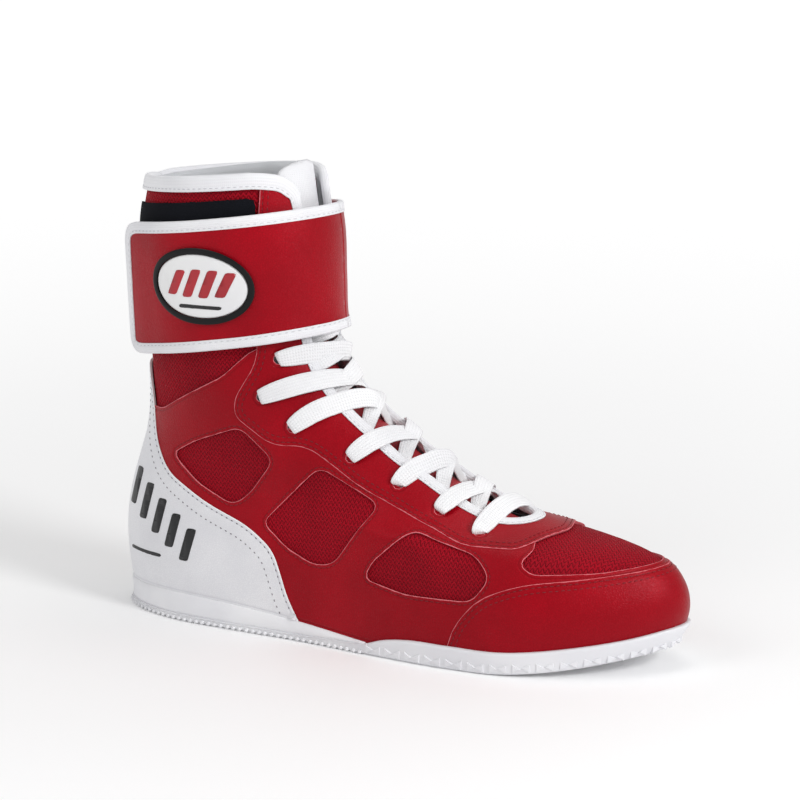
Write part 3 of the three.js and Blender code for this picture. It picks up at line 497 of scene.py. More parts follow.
def cloth(name, colour, deep, group, depth, roughness=0.85, shade=0.6, **sockets):
    sizes = {k: sockets.pop(k) for k in ("Course_height", "Loop_width", "Rib_width", "Pick_length")
             if k in sockets}
    material, w, shader = start_material(name, **sockets)
    weave, tone = use(w, group, **sizes), use(w, tone_group, Specks_per_metre=1400.0)
    base = w.mix(w.math("MULTIPLY", weave.outputs[1], shade), colour, deep)
    base = w.mix(w.math("MULTIPLY", tone.outputs["Patches"], 0.3), base, deep)
    w.tree.links.new(base, shader.inputs["Base Color"])
    w.tree.links.new(w.math("ADD", roughness - 0.08, w.math("MULTIPLY", tone.outputs["Specks"], 0.16)),
                     shader.inputs["Roughness"])
    fuzz = w.math("ADD", weave.outputs["Height"], w.math("MULTIPLY", tone.outputs["Specks"], 0.35))
    lift(w, shader, fuzz, depth)
    return material


def moulded(name, colour, deep, roughness, depth=0.02, specks=900.0, **sockets):
    material, w, shader = start_material(name, **sockets)
    tone = use(w, tone_group, Specks_per_metre=specks)
    base = w.mix(w.math("MULTIPLY", tone.outputs["Patches"], 0.6), colour, deep)
    w.tree.links.new(base, shader.inputs["Base Color"])
    w.tree.links.new(w.math("ADD", roughness - 0.08, w.math("MULTIPLY", tone.outputs["Specks"], 0.16)),
                     shader.inputs["Roughness"])
    lift(w, shader, tone.outputs["Specks"], depth)
    return material


print("materials can be made")

# %% [markdown]
# Each material is one of the three kinds with its own two colours. The red goods have a sheen that is
# tinted towards red, as dyed and waxed leather has.

# %% Materials
RED, DEEP_RED, PALE_RED = (0.36, 0.001, 0.008, 1), (0.19, 0.001, 0.004, 1), (0.72, 0.2, 0.23, 1)
WHITE, SHADE_WHITE = (0.82, 0.82, 0.84, 1), (0.62, 0.62, 0.66, 1)
RED_SHEEN = {"Specular_IOR_Level": 0.32, "Specular_Tint": (1.0, 0.3, 0.36, 1)}
red_leather = leather("red_leather", RED, DEEP_RED, PALE_RED, 0.39, **RED_SHEEN)
tongue_leather = leather("tongue_leather", (0.45, 0.02, 0.03, 1), (0.27, 0.006, 0.014, 1), PALE_RED, 0.48)
white_leather = leather("white_leather", WHITE, SHADE_WHITE, (0.9, 0.9, 0.9, 1), 0.38, 1100.0, 0.035, 0.6)
red_knit = cloth("red_knit", (0.34, 0.003, 0.012, 1), (0.05, 0.001, 0.003, 1), knit_group, 0.55, 0.8, 0.85,
                 **RED_SHEEN)
white_tape = cloth("white_tape", WHITE, (0.5, 0.5, 0.55, 1), ribs_group, 0.14, 0.85, 0.35)
lace_weave = cloth("lace_weave", (0.86, 0.86, 0.87, 1), (0.5, 0.5, 0.54, 1), ribs_group, 0.22, 0.85, 0.45,
                   Rib_width=0.00118, Pick_length=0.0013)
grey_lining = cloth("grey_lining", (0.6, 0.61, 0.63, 1), (0.33, 0.34, 0.37, 1), knit_group, 0.16, 0.92, 0.4,
                    Course_height=0.0011, Loop_width=0.0011)
black_loops = cloth("black_loops", (0.008, 0.009, 0.013, 1), (0.001, 0.001, 0.002, 1), knit_group, 0.3, 0.95,
                    0.7, Course_height=0.0009, Loop_width=0.0008, Specular_IOR_Level=0.12)
white_rubber = moulded("white_rubber", (0.8, 0.8, 0.82, 1), (0.66, 0.66, 0.7, 1), 0.5)
white_foam = moulded("white_foam", (0.84, 0.84, 0.86, 1), (0.7, 0.7, 0.74, 1), 0.55, 0.03, 1500.0)
grey_board = moulded("grey_board", (0.46, 0.42, 0.35, 1), (0.3, 0.27, 0.22, 1), 0.85, 0.08)
dark_sock = moulded("dark_sock", (0.03, 0.032, 0.036, 1), (0.015, 0.016, 0.018, 1), 0.9, 0.12, 1800.0)
black_gloss = moulded("black_gloss", (0.004, 0.004, 0.005, 1), (0.002, 0.002, 0.002, 1), 0.4,
                      Specular_IOR_Level=0.22)
white_gloss = moulded("white_gloss", (0.8, 0.8, 0.8, 1), (0.68, 0.68, 0.7, 1), 0.32)
red_gloss = moulded("red_gloss", (0.42, 0.01, 0.02, 1), (0.25, 0.004, 0.01, 1), 0.35)
black_print = moulded("black_print", (0.006, 0.006, 0.008, 1), (0.002, 0.002, 0.003, 1), 0.42)
clear_tip = moulded("clear_tip", (0.75, 0.76, 0.78, 1), (0.6, 0.6, 0.63, 1), 0.2)
red_thread = moulded("red_thread", (0.22, 0.003, 0.01, 1), (0.1, 0.001, 0.004, 1), 0.7, 0.05, 3000.0)
white_thread = moulded("white_thread", (0.6, 0.6, 0.63, 1), (0.4, 0.4, 0.44, 1), 0.75, 0.05, 3000.0)
dark_thread = moulded("dark_thread", (0.12, 0.1, 0.12, 1), (0.05, 0.04, 0.05, 1), 0.75, 0.05, 3000.0)
print("materials:", len(bpy.data.materials))

# %% [markdown]
# Two ways of making cover nearly every soft piece. The first is a strip, a row of edges extruded line by
# line, for tapes, laces and shells.

# %% Strips
def strip(lines, closed=False):
    """Faces between lines of points: the first is drawn, the others are extruded from it."""
    lines = list(lines) + ([lines[0]] if closed else [])
    middle = np.mean(lines, axis=0)
    run = np.concatenate(([0], np.cumsum(np.linalg.norm(np.diff(middle, axis=0), axis=1))))
    bm = bmesh.new()
    place = bm.verts.layers.int.new("place")
    along, over = bm.verts.layers.float.new("along"), bm.verts.layers.float.new("over")
    row = []
    for i, point in enumerate(lines[0]):
        vert = bm.verts.new(point)
        vert[place], vert[along] = i, run[i]
        row.append(vert)
    edges = [bm.edges.new(pair) for pair in zip(row, row[1:])]
    width = 0.0
    for before, line in zip(lines, lines[1:]):
        width += float(np.median(np.linalg.norm(line - before, axis=1)))
        made = bmesh.ops.extrude_edge_only(bm, edges=edges)["geom"]
        edges = [g for g in made if isinstance(g, bmesh.types.BMEdge)]
        for vert in made:
            if isinstance(vert, bmesh.types.BMVert):
                vert.co = line[vert[place]]
                vert[over] = width
    bmesh.ops.remove_doubles(bm, verts=bm.verts, dist=2e-6)
    return bm


def close_up(bm):
    bmesh.ops.holes_fill(bm, edges=[e for e in bm.edges if e.is_boundary], sides=0)
    bmesh.ops.recalc_face_normals(bm, faces=bm.faces)
    return bm


print("strips can be made")

# %% [markdown]
# A finished piece gets smooth faces, a map for its cloth, a material, and a body to ride on. Thin goods
# also get a wall and a soft edge from modifiers.

# %% Finished pieces
def lay_cloth(mesh):
    """A UV map in metres: along and over for a ribbon, or else from the side that each face looks to."""
    uv = mesh.uv_layers.new(name="cloth")
    corners = np.zeros(len(mesh.loops), int)
    mesh.loops.foreach_get("vertex_index", corners)
    co = np.zeros(len(mesh.vertices) * 3)
    mesh.vertices.foreach_get("co", co)
    co = co.reshape(-1, 3)[corners]
    if "along" in mesh.attributes:
        pairs = np.zeros((len(mesh.vertices), 2))
        for k, label in enumerate(("along", "over")):
            values = np.zeros(len(mesh.vertices))
            mesh.attributes[label].data.foreach_get("value", values)
            pairs[:, k] = values
        pairs = pairs[corners]
    else:
        normals = np.zeros(len(mesh.polygons) * 3)
        mesh.polygons.foreach_get("normal", normals)
        sizes = np.zeros(len(mesh.polygons), int)
        mesh.polygons.foreach_get("loop_total", sizes)
        n = np.abs(np.repeat(normals.reshape(-1, 3), sizes, axis=0))
        side = np.stack((co[:, 0], co[:, 2]), -1)
        top = np.stack((co[:, 0], co[:, 1]), -1)
        end = np.stack((co[:, 1], co[:, 2]), -1)
        from_top = (n[:, 2] > 0.72)[:, None]
        from_end = ((n[:, 0] > n[:, 1]) & (n[:, 2] <= 0.72))[:, None]
        pairs = np.where(from_top, top, np.where(from_end, end, side))
    uv.data.foreach_set("uv", pairs.astype(np.float32).ravel())


def piece(name, bm, material, body=None, stands_for=(), wall=0.0, bevel=0.0):
    """Turns a bmesh into a finished object that rides on a body."""
    mesh = bpy.data.meshes.new(name)
    bm.normal_update()
    bm.to_mesh(mesh)
    bm.free()
    mesh.polygons.foreach_set("use_smooth", np.ones(len(mesh.polygons), bool))
    if "seam" not in mesh.attributes:
        mesh.attributes.new("seam", "FLOAT", "POINT").data.foreach_set(
            "value", np.full(len(mesh.vertices), 9.0, np.float32))
    lay_cloth(mesh)
    thing = bpy.data.objects.new(name, mesh)
    bpy.context.scene.collection.objects.link(thing)
    mesh.materials.append(material)
    if wall:
        solid = thing.modifiers.new("wall", "SOLIDIFY")
        solid.thickness, solid.offset = wall * MM, -1
    if bevel:
        soft = thing.modifiers.new("soft edge", "BEVEL")
        soft.width, soft.segments, soft.limit_method = bevel * MM, 2, "ANGLE"
        soft.angle_limit, soft.harden_normals = math.radians(50), True
    if body:
        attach(thing, body)
    if stands_for:
        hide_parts(*stands_for)
    print(f"{name}: {len(mesh.polygons)} faces")
    return thing


print("pieces can be finished")

# %% [markdown]
# The second way of making is a panel. It starts from its cut edge, steps inwards in a few seam rows, and
# is filled and cut into small cells that bend over the last. The seam rows dip where the thread pulls.

# %% Panels
SEAM_ROWS = (0.0, 0.5, 1.1, 1.6, 2.1, 2.7)


def panel_mesh(outer, holes=(), level=0.0, rows=SEAM_ROWS, step=2.0, cell=4.0, groove=0.28):
    """A panel of the upper, from its outline and holes in [phi, height]."""
    bm = bmesh.new()
    seam = bm.verts.layers.float.new("seam")
    place = bm.verts.layers.int.new("place")
    inner = []
    for loop, left in [(outer, True)] + [(hole, False) for hole in holes]:
        ring = turned(recut(np.vstack((loop, loop[:1])), step)[:-1], left)
        verts = []
        for i, (phi, z) in enumerate(ring):
            vert = bm.verts.new((phi, z, 0))
            vert[place] = i
            verts.append(vert)
        edges = [bm.edges.new((verts[i - 1], verts[i])) for i in range(len(verts))]
        for distance in rows[1:]:
            moved = beside(ring, distance, closed=True)
            made = bmesh.ops.extrude_edge_only(bm, edges=edges)["geom"]
            edges = [g for g in made if isinstance(g, bmesh.types.BMEdge)]
            for vert in made:
                if isinstance(vert, bmesh.types.BMVert):
                    phi, z = moved[vert[place]]
                    vert.co = (phi, z, 0)
                    vert[seam] = distance
        inner += edges
    fill = bmesh.ops.triangle_fill(bm, use_beauty=True, edges=inner)["geom"]
    for face in (g for g in fill if isinstance(g, bmesh.types.BMFace)):
        face.material_index = 1
    spans = np.array([v.co for v in bm.verts])
    (low_phi, low_z), (high_phi, high_z) = spans[:, :2].min(0), spans[:, :2].max(0)
    cuts = [((phi, 0, 0), (1, 0, 0)) for phi in np.arange(low_phi + 0.05, high_phi, 0.0625)]
    cuts += [((0, z, 0), (0, 1, 0)) for z in np.arange(low_z + cell / 2, high_z, cell)]
    old = set(bm.verts)
    for middle, normal in cuts:
        axis = 0 if normal[0] else 1
        faces = []
        for face in bm.faces:
            if face.material_index:
                ends = [v.co[axis] for v in face.verts]
                if min(ends) < middle[axis] < max(ends):
                    faces.append(face)
        geom = faces + list({e for f in faces for e in f.edges}) + list({v for f in faces for v in f.verts})
        bmesh.ops.bisect_plane(bm, geom=geom, dist=1e-5, plane_co=middle, plane_no=normal)
    for face in bm.faces:
        face.material_index = 0
    verts = list(bm.verts)
    flat = np.array([v.co for v in verts])
    away = np.array([v[seam] for v in verts])
    for i, vert in enumerate(verts):
        if vert not in old:
            away[i] = max(away[i], rows[-1])
    phi, z = flat[:, 0], flat[:, 1]
    dip = -groove * np.exp(-((away - 1.6) / 0.42) ** 2) - 0.3 * np.exp(-(away / 0.35) ** 2)
    if len(rows) == 1:
        dip = np.zeros(len(verts))
    lift_by = level(phi, z) if callable(level) else np.full(len(verts), float(level))
    for vert, point, distance in zip(verts, off(phi, z, lift_by + dip), away):
        vert.co = point
        vert[seam] = distance if len(rows) > 1 else 9.0
    bmesh.ops.triangulate(bm, faces=[f for f in bm.faces if len(f.verts) > 4])
    bmesh.ops.recalc_face_normals(bm, faces=bm.faces)
    bm.normal_update()
    away_from_last = outward(phi, z)
    if sum(vert.normal.dot(away_from_last[i]) for i, vert in enumerate(verts)) < 0:
        bmesh.ops.reverse_faces(bm, faces=bm.faces)
    return bm


print("panels can be made, with", len(SEAM_ROWS), "seam rows")

# %% [markdown]
# Thread is modelled stitch by stitch along a line. Stitches are added in batches, which keeps it quick.

# %% Stitch maker
def stitches(name, lines, thread, body, pitch=2.7, length=1.9, width=0.5):
    """Small stitches of thread along lines in [phi, height], each with its distance outwards."""
    bm, batch, scratch = bmesh.new(), bmesh.new(), bpy.data.meshes.new("scratch")
    count = 0
    for line, level in lines:
        line = recut(line, pitch)
        at = line[:-1] * 0.5 + line[1:] * 0.5
        height = level(at[:, 0], at[:, 1]) if callable(level) else np.full(len(at), float(level))
        middle, normal = off(at[:, 0], at[:, 1], height), outward(at[:, 0], at[:, 1])
        ahead = unit(last(line[1:, 0], line[1:, 1]) - last(line[:-1, 0], line[:-1, 1]))
        side = np.cross(normal, ahead)
        for m, a, s, n in zip(middle, ahead, side, normal):
            matrix = Matrix(((*(a * length / 2), 0), (*(s * width / 2), 0), (*(n * width / 2.4), 0),
                             (0, 0, 0, 1))).transposed()
            matrix = Matrix.Translation(m) @ Matrix.Scale(MM, 4) @ matrix
            bmesh.ops.create_uvsphere(batch, u_segments=6, v_segments=4, radius=1, matrix=matrix)
            count += 1
            if count % 40 == 0:
                batch.to_mesh(scratch)
                bm.from_mesh(scratch)
                batch.clear()
    batch.to_mesh(scratch)
    bm.from_mesh(scratch)
    batch.free()
    bpy.data.meshes.remove(scratch)
    bmesh.ops.recalc_face_normals(bm, faces=bm.faces)
    made = piece(name, bm, thread, body)
    print("  stitches:", count)
    return made


print("stitches can be sewn")

# %% [markdown]
# The outsole is a thin rubber cup. Its wall stands a little outside the upper and rises at the forefoot
# as a smooth rim. It is made as rings round the boot, from the middle of the tread, up the wall, over the
# rim and back to the middle inside, so it is one closed body.

# %% Outsole
ROUND = np.linspace(0, 2 * math.pi, 241)


def around(phi, z, sideways):
    """Points outside the last at a height, moved level, in the row frame, in metres."""
    level_out = outward(phi, z) * (1, 1, 0)
    return (last(phi, z) + unit(level_out) * np.asarray(sideways, float)[..., None] + ORIGIN) * MM


def towards_middle(ring, share, z=None):
    """A ring drawn in towards the boot's middle line."""
    middle = (ring + ring[::-1]) / 2
    drawn = middle + (ring - middle) * share
    if z is not None:
        drawn[:, 2] = z
    return drawn


bottom, floor_line = height_at(ROUND, sole_bottom), height_at(ROUND, sole_floor)
rim_line = height_at(ROUND, rim_top)
tread = around(ROUND, bottom, 0.6)
rings = [towards_middle(tread, s) for s in (0, 0.35, 0.65, 0.85, 0.96)] + [tread]
rings += [around(ROUND, bottom + lift_by, out) for lift_by, out in ((0.25, 1.5), (0.8, 2.1), (1.8, 2.3))]
rings += [around(ROUND, floor_line * 0.6 + rim_line * 0.4 - 0.3, 2.35),
          around(ROUND, floor_line * 0.2 + rim_line * 0.8 - 0.3, 2.5)]
rings += [around(ROUND, rim_line + lift_by, out)
          for lift_by, out in ((-0.3, 2.3), (0.0, 1.7), (0.1, 0.6), (-0.4, -0.4))]
rings += [around(ROUND, floor_line - 0.2, -0.6)]
inside = around(ROUND, floor_line - 0.2, -3.0)
rings += [inside] + [towards_middle(inside, s) for s in (0.7, 0.35, 0)]
sole = strip(rings)
bmesh.ops.recalc_face_normals(sole, faces=sole.faces)
piece("outsole_cup", sole, white_rubber, "boot", ("outsole",))

# %% [markdown]
# Small beads run along the bottom edge of the heel, and a row of raised triangles, turned up and down in
# turn, runs along the forefoot. Both give grip at the edge. Each is a tiny solid, set on the wall.

# %% Grip beads and triangles
def wall_places(low_x, high_x, pitch, rise):
    """Places on the sole's wall between two distances from the heel, on both sides."""
    phi = np.linspace(0, 2 * math.pi, 2000, endpoint=False)
    z = height_at(phi, sole_bottom) + rise
    at = around(phi, z, 2.2)
    run = np.cumsum(np.linalg.norm(np.diff(at, axis=0, append=at[:1]), axis=1)) / MM
    stops = np.searchsorted(run, np.arange(pitch / 2, run[-1], pitch))
    x = last(phi[stops], z[stops])[:, 0]
    keep = (x > low_x) & (x < high_x)
    phi, z = phi[stops][keep], z[stops][keep]
    return around(phi, z, 2.15), unit(outward(phi, z) * (1, 1, 0))


def stand(point, normal, sizes):
    """A matrix that puts a unit shape on the wall: x along it, y up, z outwards."""
    side = np.cross((0, 0, 1), normal)
    axes = np.stack((side * sizes[0], np.array((0, 0, 1)) * sizes[1], normal * sizes[2]), 1)
    matrix = Matrix.Identity(4)
    for r in range(3):
        for c in range(3):
            matrix[r][c] = axes[r][c] * MM
        matrix[r][3] = point[r]
    return matrix


grip = bmesh.new()
for point, normal in zip(*wall_places(-5, 150, 3.5, 1.1)):
    bmesh.ops.create_icosphere(grip, subdivisions=1, radius=1, matrix=stand(point, normal, (1.3, 1.1, 1.35)))
for k, (point, normal) in enumerate(zip(*wall_places(152, 400, 5.2, 3.0))):
    tilt = Matrix.Rotation(math.radians(90 if k % 2 else -90), 4, "Z")
    bmesh.ops.create_cone(grip, cap_ends=True, segments=3, radius1=1.0, radius2=0.72, depth=1,
                          matrix=stand(point, normal, (3.2, 2.8, 1.5)) @ tilt)
bmesh.ops.recalc_face_normals(grip, faces=grip.faces)
piece("outsole_grip", grip, white_rubber, "boot", bevel=0.12)

# %% [markdown]
# Under the heel lies a white foam wedge that tapers out before the arch. It is a strip round the heel,
# closed at both ends.

# %% Heel wedge
reach = float(phi_at(150.0, 8.0))
HEEL = np.linspace(-reach, reach, 121)
low = height_at(HEEL, sole_floor) + 0.05
high = height_at(HEEL, lambda x: np.maximum(curve(WEDGE_TOP, x), 4.9))
high = np.maximum(high, low + 0.3)
wedge = strip([around(HEEL, low, 1.7), around(HEEL, low + (high - low) * 0.12, 2.05),
               around(HEEL, low + (high - low) * 0.5, 1.6), around(HEEL, high - 0.5, 1.25),
               around(HEEL, high - 0.1, 0.9), around(HEEL, high + 0.15, 0.2), around(HEEL, high - 0.3, -1.2),
               around(HEEL, high - 0.5, -3.5), around(HEEL, low, -3.5)], closed=True)
piece("heel_wedge", close_up(wedge), white_foam, "boot", ("midsole_wedge",))

# %% [markdown]
# Inside lie a stiff insole board and a soft sock that the foot stands on. Each is a closed plate in the
# shape of the foot, with a rounded edge.

# %% Insole board and sock
def foot_plate(lift_by, thick, inset, crown=0.0):
    z = height_at(ROUND, upper_edge) + lift_by
    low_ring, high_ring = around(ROUND, z, inset), around(ROUND, z + thick, inset - 0.3)
    rings = [towards_middle(low_ring, s) for s in (0, 0.5, 0.85)] + [low_ring]
    rings += [around(ROUND, z + thick * 0.5, inset + 0.25), high_ring]
    for share in (0.9, 0.6, 0.3, 0):
        rings.append(towards_middle(high_ring, share, high_ring[:, 2] - crown * (1 - share) * MM))
    bm = strip(rings)
    bmesh.ops.recalc_face_normals(bm, faces=bm.faces)
    return bm


piece("insole", foot_plate(0.0, 1.2, -5.4), grey_board, "boot", ("insole_board",))
sock = piece("sock", foot_plate(1.5, 3.3, -5.5, 0.6), dark_sock, "boot", ("sockliner",))

# %% [markdown]
# The upper starts with knit. One knit panel wraps the whole foot under the leather and shows through the
# leather's windows. Its outline runs along the sole, round the top, and under the facing's edge.

# %% Outlines of the upper
def foot_line(start, end, down=0.8):
    phi = np.linspace(start, end, 260)
    return np.stack((phi, height_at(phi, upper_edge) - down), -1)


def over_toe(side_line):
    """A closed outline: a side line from the sole over the toe to the other side, then along the sole."""
    both = across_toe(side_line)
    return np.vstack((both, foot_line(both[-1, 0], both[0, 0])[1:-1]))


def over_heel(side_line):
    both = across_heel(side_line)
    return np.vstack((both, foot_line(both[-1, 0], both[0, 0])[1:-1]))


def whole_boot(top_line):
    """A closed outline for a panel that covers heel, sides and toe, open at the heel's back seam."""
    start = np.array([[1e-3, top_line[0, 1]]])
    both = across_toe(np.vstack((start, top_line)))
    return np.vstack((both, foot_line(2 * math.pi - 1e-3, 1e-3)))


KNIT_TOP = [(15.5, 201.4), (91, 206.6), (92.5, 190), (92.5, 128), (84, 109), (84, 103), (98, 93), (113, 94),
            (140, 78.5), (168, 67), (195, 59), (212, 59.5), (221, 58.6), (224, 58.5)]
knit_outline = whole_boot(on_last(KNIT_TOP, 5))
knit = panel_mesh(knit_outline, level=-1.25, rows=(0.0,), step=3.0, cell=4.0)
piece("knit_upper", knit, red_knit, "boot", ("mesh_upper_lateral", "mesh_upper_medial"), wall=0.9)

# %% [markdown]
# The facing carries the eyelets. It is one U-shaped leather piece round the throat. The throat's edge is
# found by its distance from the middle line, and each eyelet is a small round hole in the outline.

# %% Throat and eyelets
THROAT_HALF, THROAT_END = 12.5, 197.0
EYELETS = [(199, 58), (178, 65), (157, 75), (134, 85), (106, 97), (91, 110), (97, 127), (97, 145), (96, 163)]
MIDDLE = (float(curve(CENTRE, 100)), float(curve(CENTRE, THROAT_END)))


def bisect(low, high, below):
    """Where a test that starts true turns false, between two arrays of numbers."""
    low, high = np.array(low, float), np.array(high, float)
    for _ in range(40):
        guess = (low + high) / 2
        yes = below(guess)
        low, high = np.where(yes, guess, low), np.where(yes, high, guess)
    return low


def at_y(z, y):
    """The phi, across the front, of points at a height and a distance from the middle plane."""
    z, y = np.broadcast_arrays(np.asarray(z, float), np.asarray(y, float))
    return bisect(np.full(z.shape, math.pi / 2), np.full(z.shape, 1.5 * math.pi),
                  lambda phi: last(phi, z)[..., 1] < y)


def throat_line(extra, top):
    """The outer side's throat edge from a height down to the toe end, widened by a distance."""
    share = lambda x: (x - 70) / (THROAT_END - 70)
    z = np.arange(top, 56, -1.0)
    edge = lambda x: MIDDLE[0] + (MIDDLE[1] - MIDDLE[0]) * share(x) - (THROAT_HALF + extra + 2 * share(x))
    phi = bisect(np.full(z.shape, math.pi / 2), np.full(z.shape, math.pi),
                 lambda p: last(p, z)[..., 1] < edge(last(p, z)[..., 0]))
    keep = last(phi, z)[:, 0] < THROAT_END - 1
    side_part = np.stack((phi[keep], z[keep]), -1)
    turn = np.radians(np.linspace(-86, -5, 14))
    radius = THROAT_HALF + extra + 2
    x, y = THROAT_END + radius * np.cos(turn), MIDDLE[1] + radius * np.sin(turn)
    z = bisect(np.full(x.shape, 44.0), np.full(x.shape, 76.0), lambda h: last(phi_at(x, h), h)[..., 1] < y)
    return np.vstack((side_part, np.stack((phi_at(x, z), z), -1)))


def circle(phi, z, radius, count=14):
    middle, normal = last(phi, z), outward(phi, z)
    a = unit(last(phi + 0.01, z) - middle)
    b = np.cross(normal, a)
    turn = np.linspace(0, 2 * math.pi, count, endpoint=False)[:, None]
    goal = middle + radius * (np.cos(turn) * a + np.sin(turn) * b)
    return settle(np.tile([phi, z], (count, 1)).astype(float), goal)


eyelet_places = []
for x, z in EYELETS:
    phi = float(phi_at(x, z))
    eyelet_places += [(phi, z), (2 * math.pi - phi, z)]
punched = [circle(phi, z, 2.5) for phi, z in eyelet_places]
print("eyelets:", len(punched))

# %% [markdown]
# The quarter is the main leather panel. It runs along both sides from heel to toe and has cut windows
# that show the knit. It reaches a few millimetres under the facing and under both caps, as it is sewn.

# %% Quarter
QUARTER_TOP = [(14.5, 98), (33, 98), (48, 106), (72, 118), (86, 131), (94, 133), (95, 124), (87, 108),
               (99, 96), (113, 97), (140, 81), (168, 70), (195, 62), (213, 59.5), (221, 57.3), (226, 54),
               (222, 49), (228, 44.6), (254, 45.4), (268, 47.2), (276, 48.4)]
WINDOWS = [[(40, 78), (55, 86), (80, 95), (97, 81), (84, 64), (75, 58), (56, 66)],
           [(92, 52), (120, 80), (151, 66), (131, 38), (120, 36), (105, 42)],
           [(148, 34), (152, 42), (170, 58), (203, 51), (211, 42), (203, 31), (170, 30)]]


def closed_outline(corners, radius):
    """A closed outline with all its corners rounded, on the outer side of the boot."""
    corners = [np.array(c, float) for c in corners]
    start = (corners[0] + corners[-1]) / 2
    return on_last([start, *corners, start], radius)[:-1]


windows = []
for corners in WINDOWS:
    outline = closed_outline(corners, 5)
    other = outline[::-1].copy()
    other[:, 0] = 2 * math.pi - other[:, 0]
    windows += [outline, other]
quarter_outline = whole_boot(on_last(QUARTER_TOP, 4))
quarter = panel_mesh(quarter_outline, windows, level=0.0)
piece("quarter", quarter, red_leather, "boot", ("quarter_lateral", "quarter_medial"),
      wall=1.0, bevel=0.22)

# %% [markdown]
# The facing, the toe cap and the heel cap are sewn over the quarter, so they lie a little higher. Under
# the facing is a textile stay that backs the eyelets, as thin as the knit.

# %% Facing
STAY_EDGE = [(89.5, 209.8), (88, 125), (78, 108), (78, 100), (96, 88), (113, 89), (140, 73), (168, 62),
             (195, 54), (219, 53.5), (226, 57), (231, 57.6)]


def stay_outline(extra, edge=STAY_EDGE, shift=0.0):
    """The facing's outline: its outer edge over the toe end, and back along the throat."""
    outside = across_toe(on_last([(x + shift, z) for x, z in edge], 7))
    corner = on_last([(91.5, 209.8), (96 - extra * 0.4, 208.3 - extra * 0.3), (100.2 - extra * 0.7, 201)], 5)
    inside = across_toe(np.vstack((corner, throat_line(extra, 196))))
    return np.vstack((outside, inside[::-1]))


facing = panel_mesh(stay_outline(1.6), punched, level=0.5, rows=(0.0, 0.5, 1.1, 1.6, 2.1), step=1.7)
piece("facing", facing, red_leather, "boot", ("eyestay_lateral", "eyestay_medial"),
      wall=1.1, bevel=0.2)
stay_holes = [circle(phi, z, 2.75) for phi, z in eyelet_places]
stay = panel_mesh(stay_outline(0.9, shift=0.8), stay_holes, level=-1.35, rows=(0.0,), step=2.0)
piece("eyelet_stay", stay, grey_lining, "boot", ("eyelet_stay_lateral", "eyelet_stay_medial"),
      wall=0.8)

# %% [markdown]
# The toe cap and the heel cap are sewn on last. Each is drawn from the outer side and runs over the toe
# or round the heel to its mirror image.

# %% Caps
TOE_CAP = [(191.5, 8.2), (195, 19), (206, 33), (225, 40.5), (254, 43.5), (274, 46), (279, 47.4)]
HEEL_CAP = [(112.5, 8.6), (106, 20), (103, 28), (98, 40), (84, 49.5), (62, 57), (37, 69), (28, 83), (25, 104),
            (19, 118), (14, 118)]
toe_cap = panel_mesh(over_toe(on_last(TOE_CAP, 9)), level=0.55)
piece("toe_cap_leather", toe_cap, red_leather, "boot", ("toe_cap",), wall=1.1, bevel=0.22)
heel_cap = panel_mesh(over_heel(on_last(HEEL_CAP, 7)), level=0.6)
piece("heel_cap_leather", heel_cap, white_leather, "boot", ("heel_cap",), wall=1.1,
      bevel=0.22)

# %% [markdown]
# Inside the upper are a stiff heel counter, a toe puff, the lining, and foam round the collar. They are
# thin panels at their own depths, so that nothing of the plain model shows through the throat or the top.

# %% Inner layers
COUNTER = [(88, 11.5), (84, 26), (62, 46), (30, 62), (6, 66)]
PUFF = [(222, 9), (228, 30), (240, 42), (256, 49.5), (262, 51.5)]


def foam_depth(phi, z):
    return 4.0 * ease(78, 100, z) * (1 - ease(70, 88, last(phi, z)[..., 0]))


def lining_level(phi, z):
    return -3.9 - foam_depth(phi, z)


counter = panel_mesh(over_heel(on_last(COUNTER, 12)), level=-2.4, rows=(0.0,), step=3)
piece("heel_stiffener", counter, grey_board, "boot", ("heel_counter",), wall=0.9)
puff = panel_mesh(over_toe(on_last(PUFF, 12)), level=-2.4, rows=(0.0,), step=3)
piece("toe_stiffener", puff, grey_board, "boot", ("toe_puff",), wall=0.9)
LINING_TOP = [(x, z - 0.6) for x, z in KNIT_TOP[:2]] + KNIT_TOP[2:]
lining = panel_mesh(whole_boot(on_last(LINING_TOP, 5)), level=lining_level, rows=(0.0,), step=3.0)
piece("lining", lining, grey_lining, "boot", ("lining_lateral", "lining_medial"), wall=0.6)

# %% [markdown]
# The collar is padded. Its foam is a soft roll inside the binding, thickest round the ankle and thin at
# the facings. It is a closed strip of rings: up the outside, over the top, and down the inside.

# %% Collar padding
AROUND_BACK = np.linspace(-1, 1, 161)


def collar_rise(x, z):
    """The collar stands a little higher in front than at the heel."""
    return (x - 52) * 0.07 * ease(185, 204, z)


def collar_ring(z, outwards, depth):
    phi = AROUND_BACK * float(phi_at(86.0, z))
    level = np.full(phi.shape, z)
    x = last(phi, level)[:, 0]
    thick = 1 - ease(66, 86, x)
    return off(phi, level + collar_rise(x, z), outwards - depth * thick)


ROLL = [(96, -2.7, 0.0), (203, -2.7, 0.0), (206.8, -2.8, 0.2), (208.3, -3.2, 1.2), (208.9, -3.6, 2.4),
        (208.4, -4.0, 3.9), (206.5, -4.3, 4.9), (203, -4.5, 5.0), (198, -4.5, 4.4), (190, -4.5, 4.2),
        (130, -4.5, 4.3), (110, -4.5, 3.9), (99, -4.4, 2.6), (95, -3.2, 0.3)]
roll = []
for one, two in zip(ROLL, ROLL[1:] + ROLL[-1:]):
    steps = max(1, round(abs(one[0] - two[0]) / 5))
    roll += [collar_ring(*(np.array(one) + (np.array(two) - one) * k / steps)) for k in range(steps)]
padding = piece("collar_padding", close_up(strip(roll, closed=True)), grey_lining, "boot",
                ("collar_foam_lateral", "collar_foam_medial"))

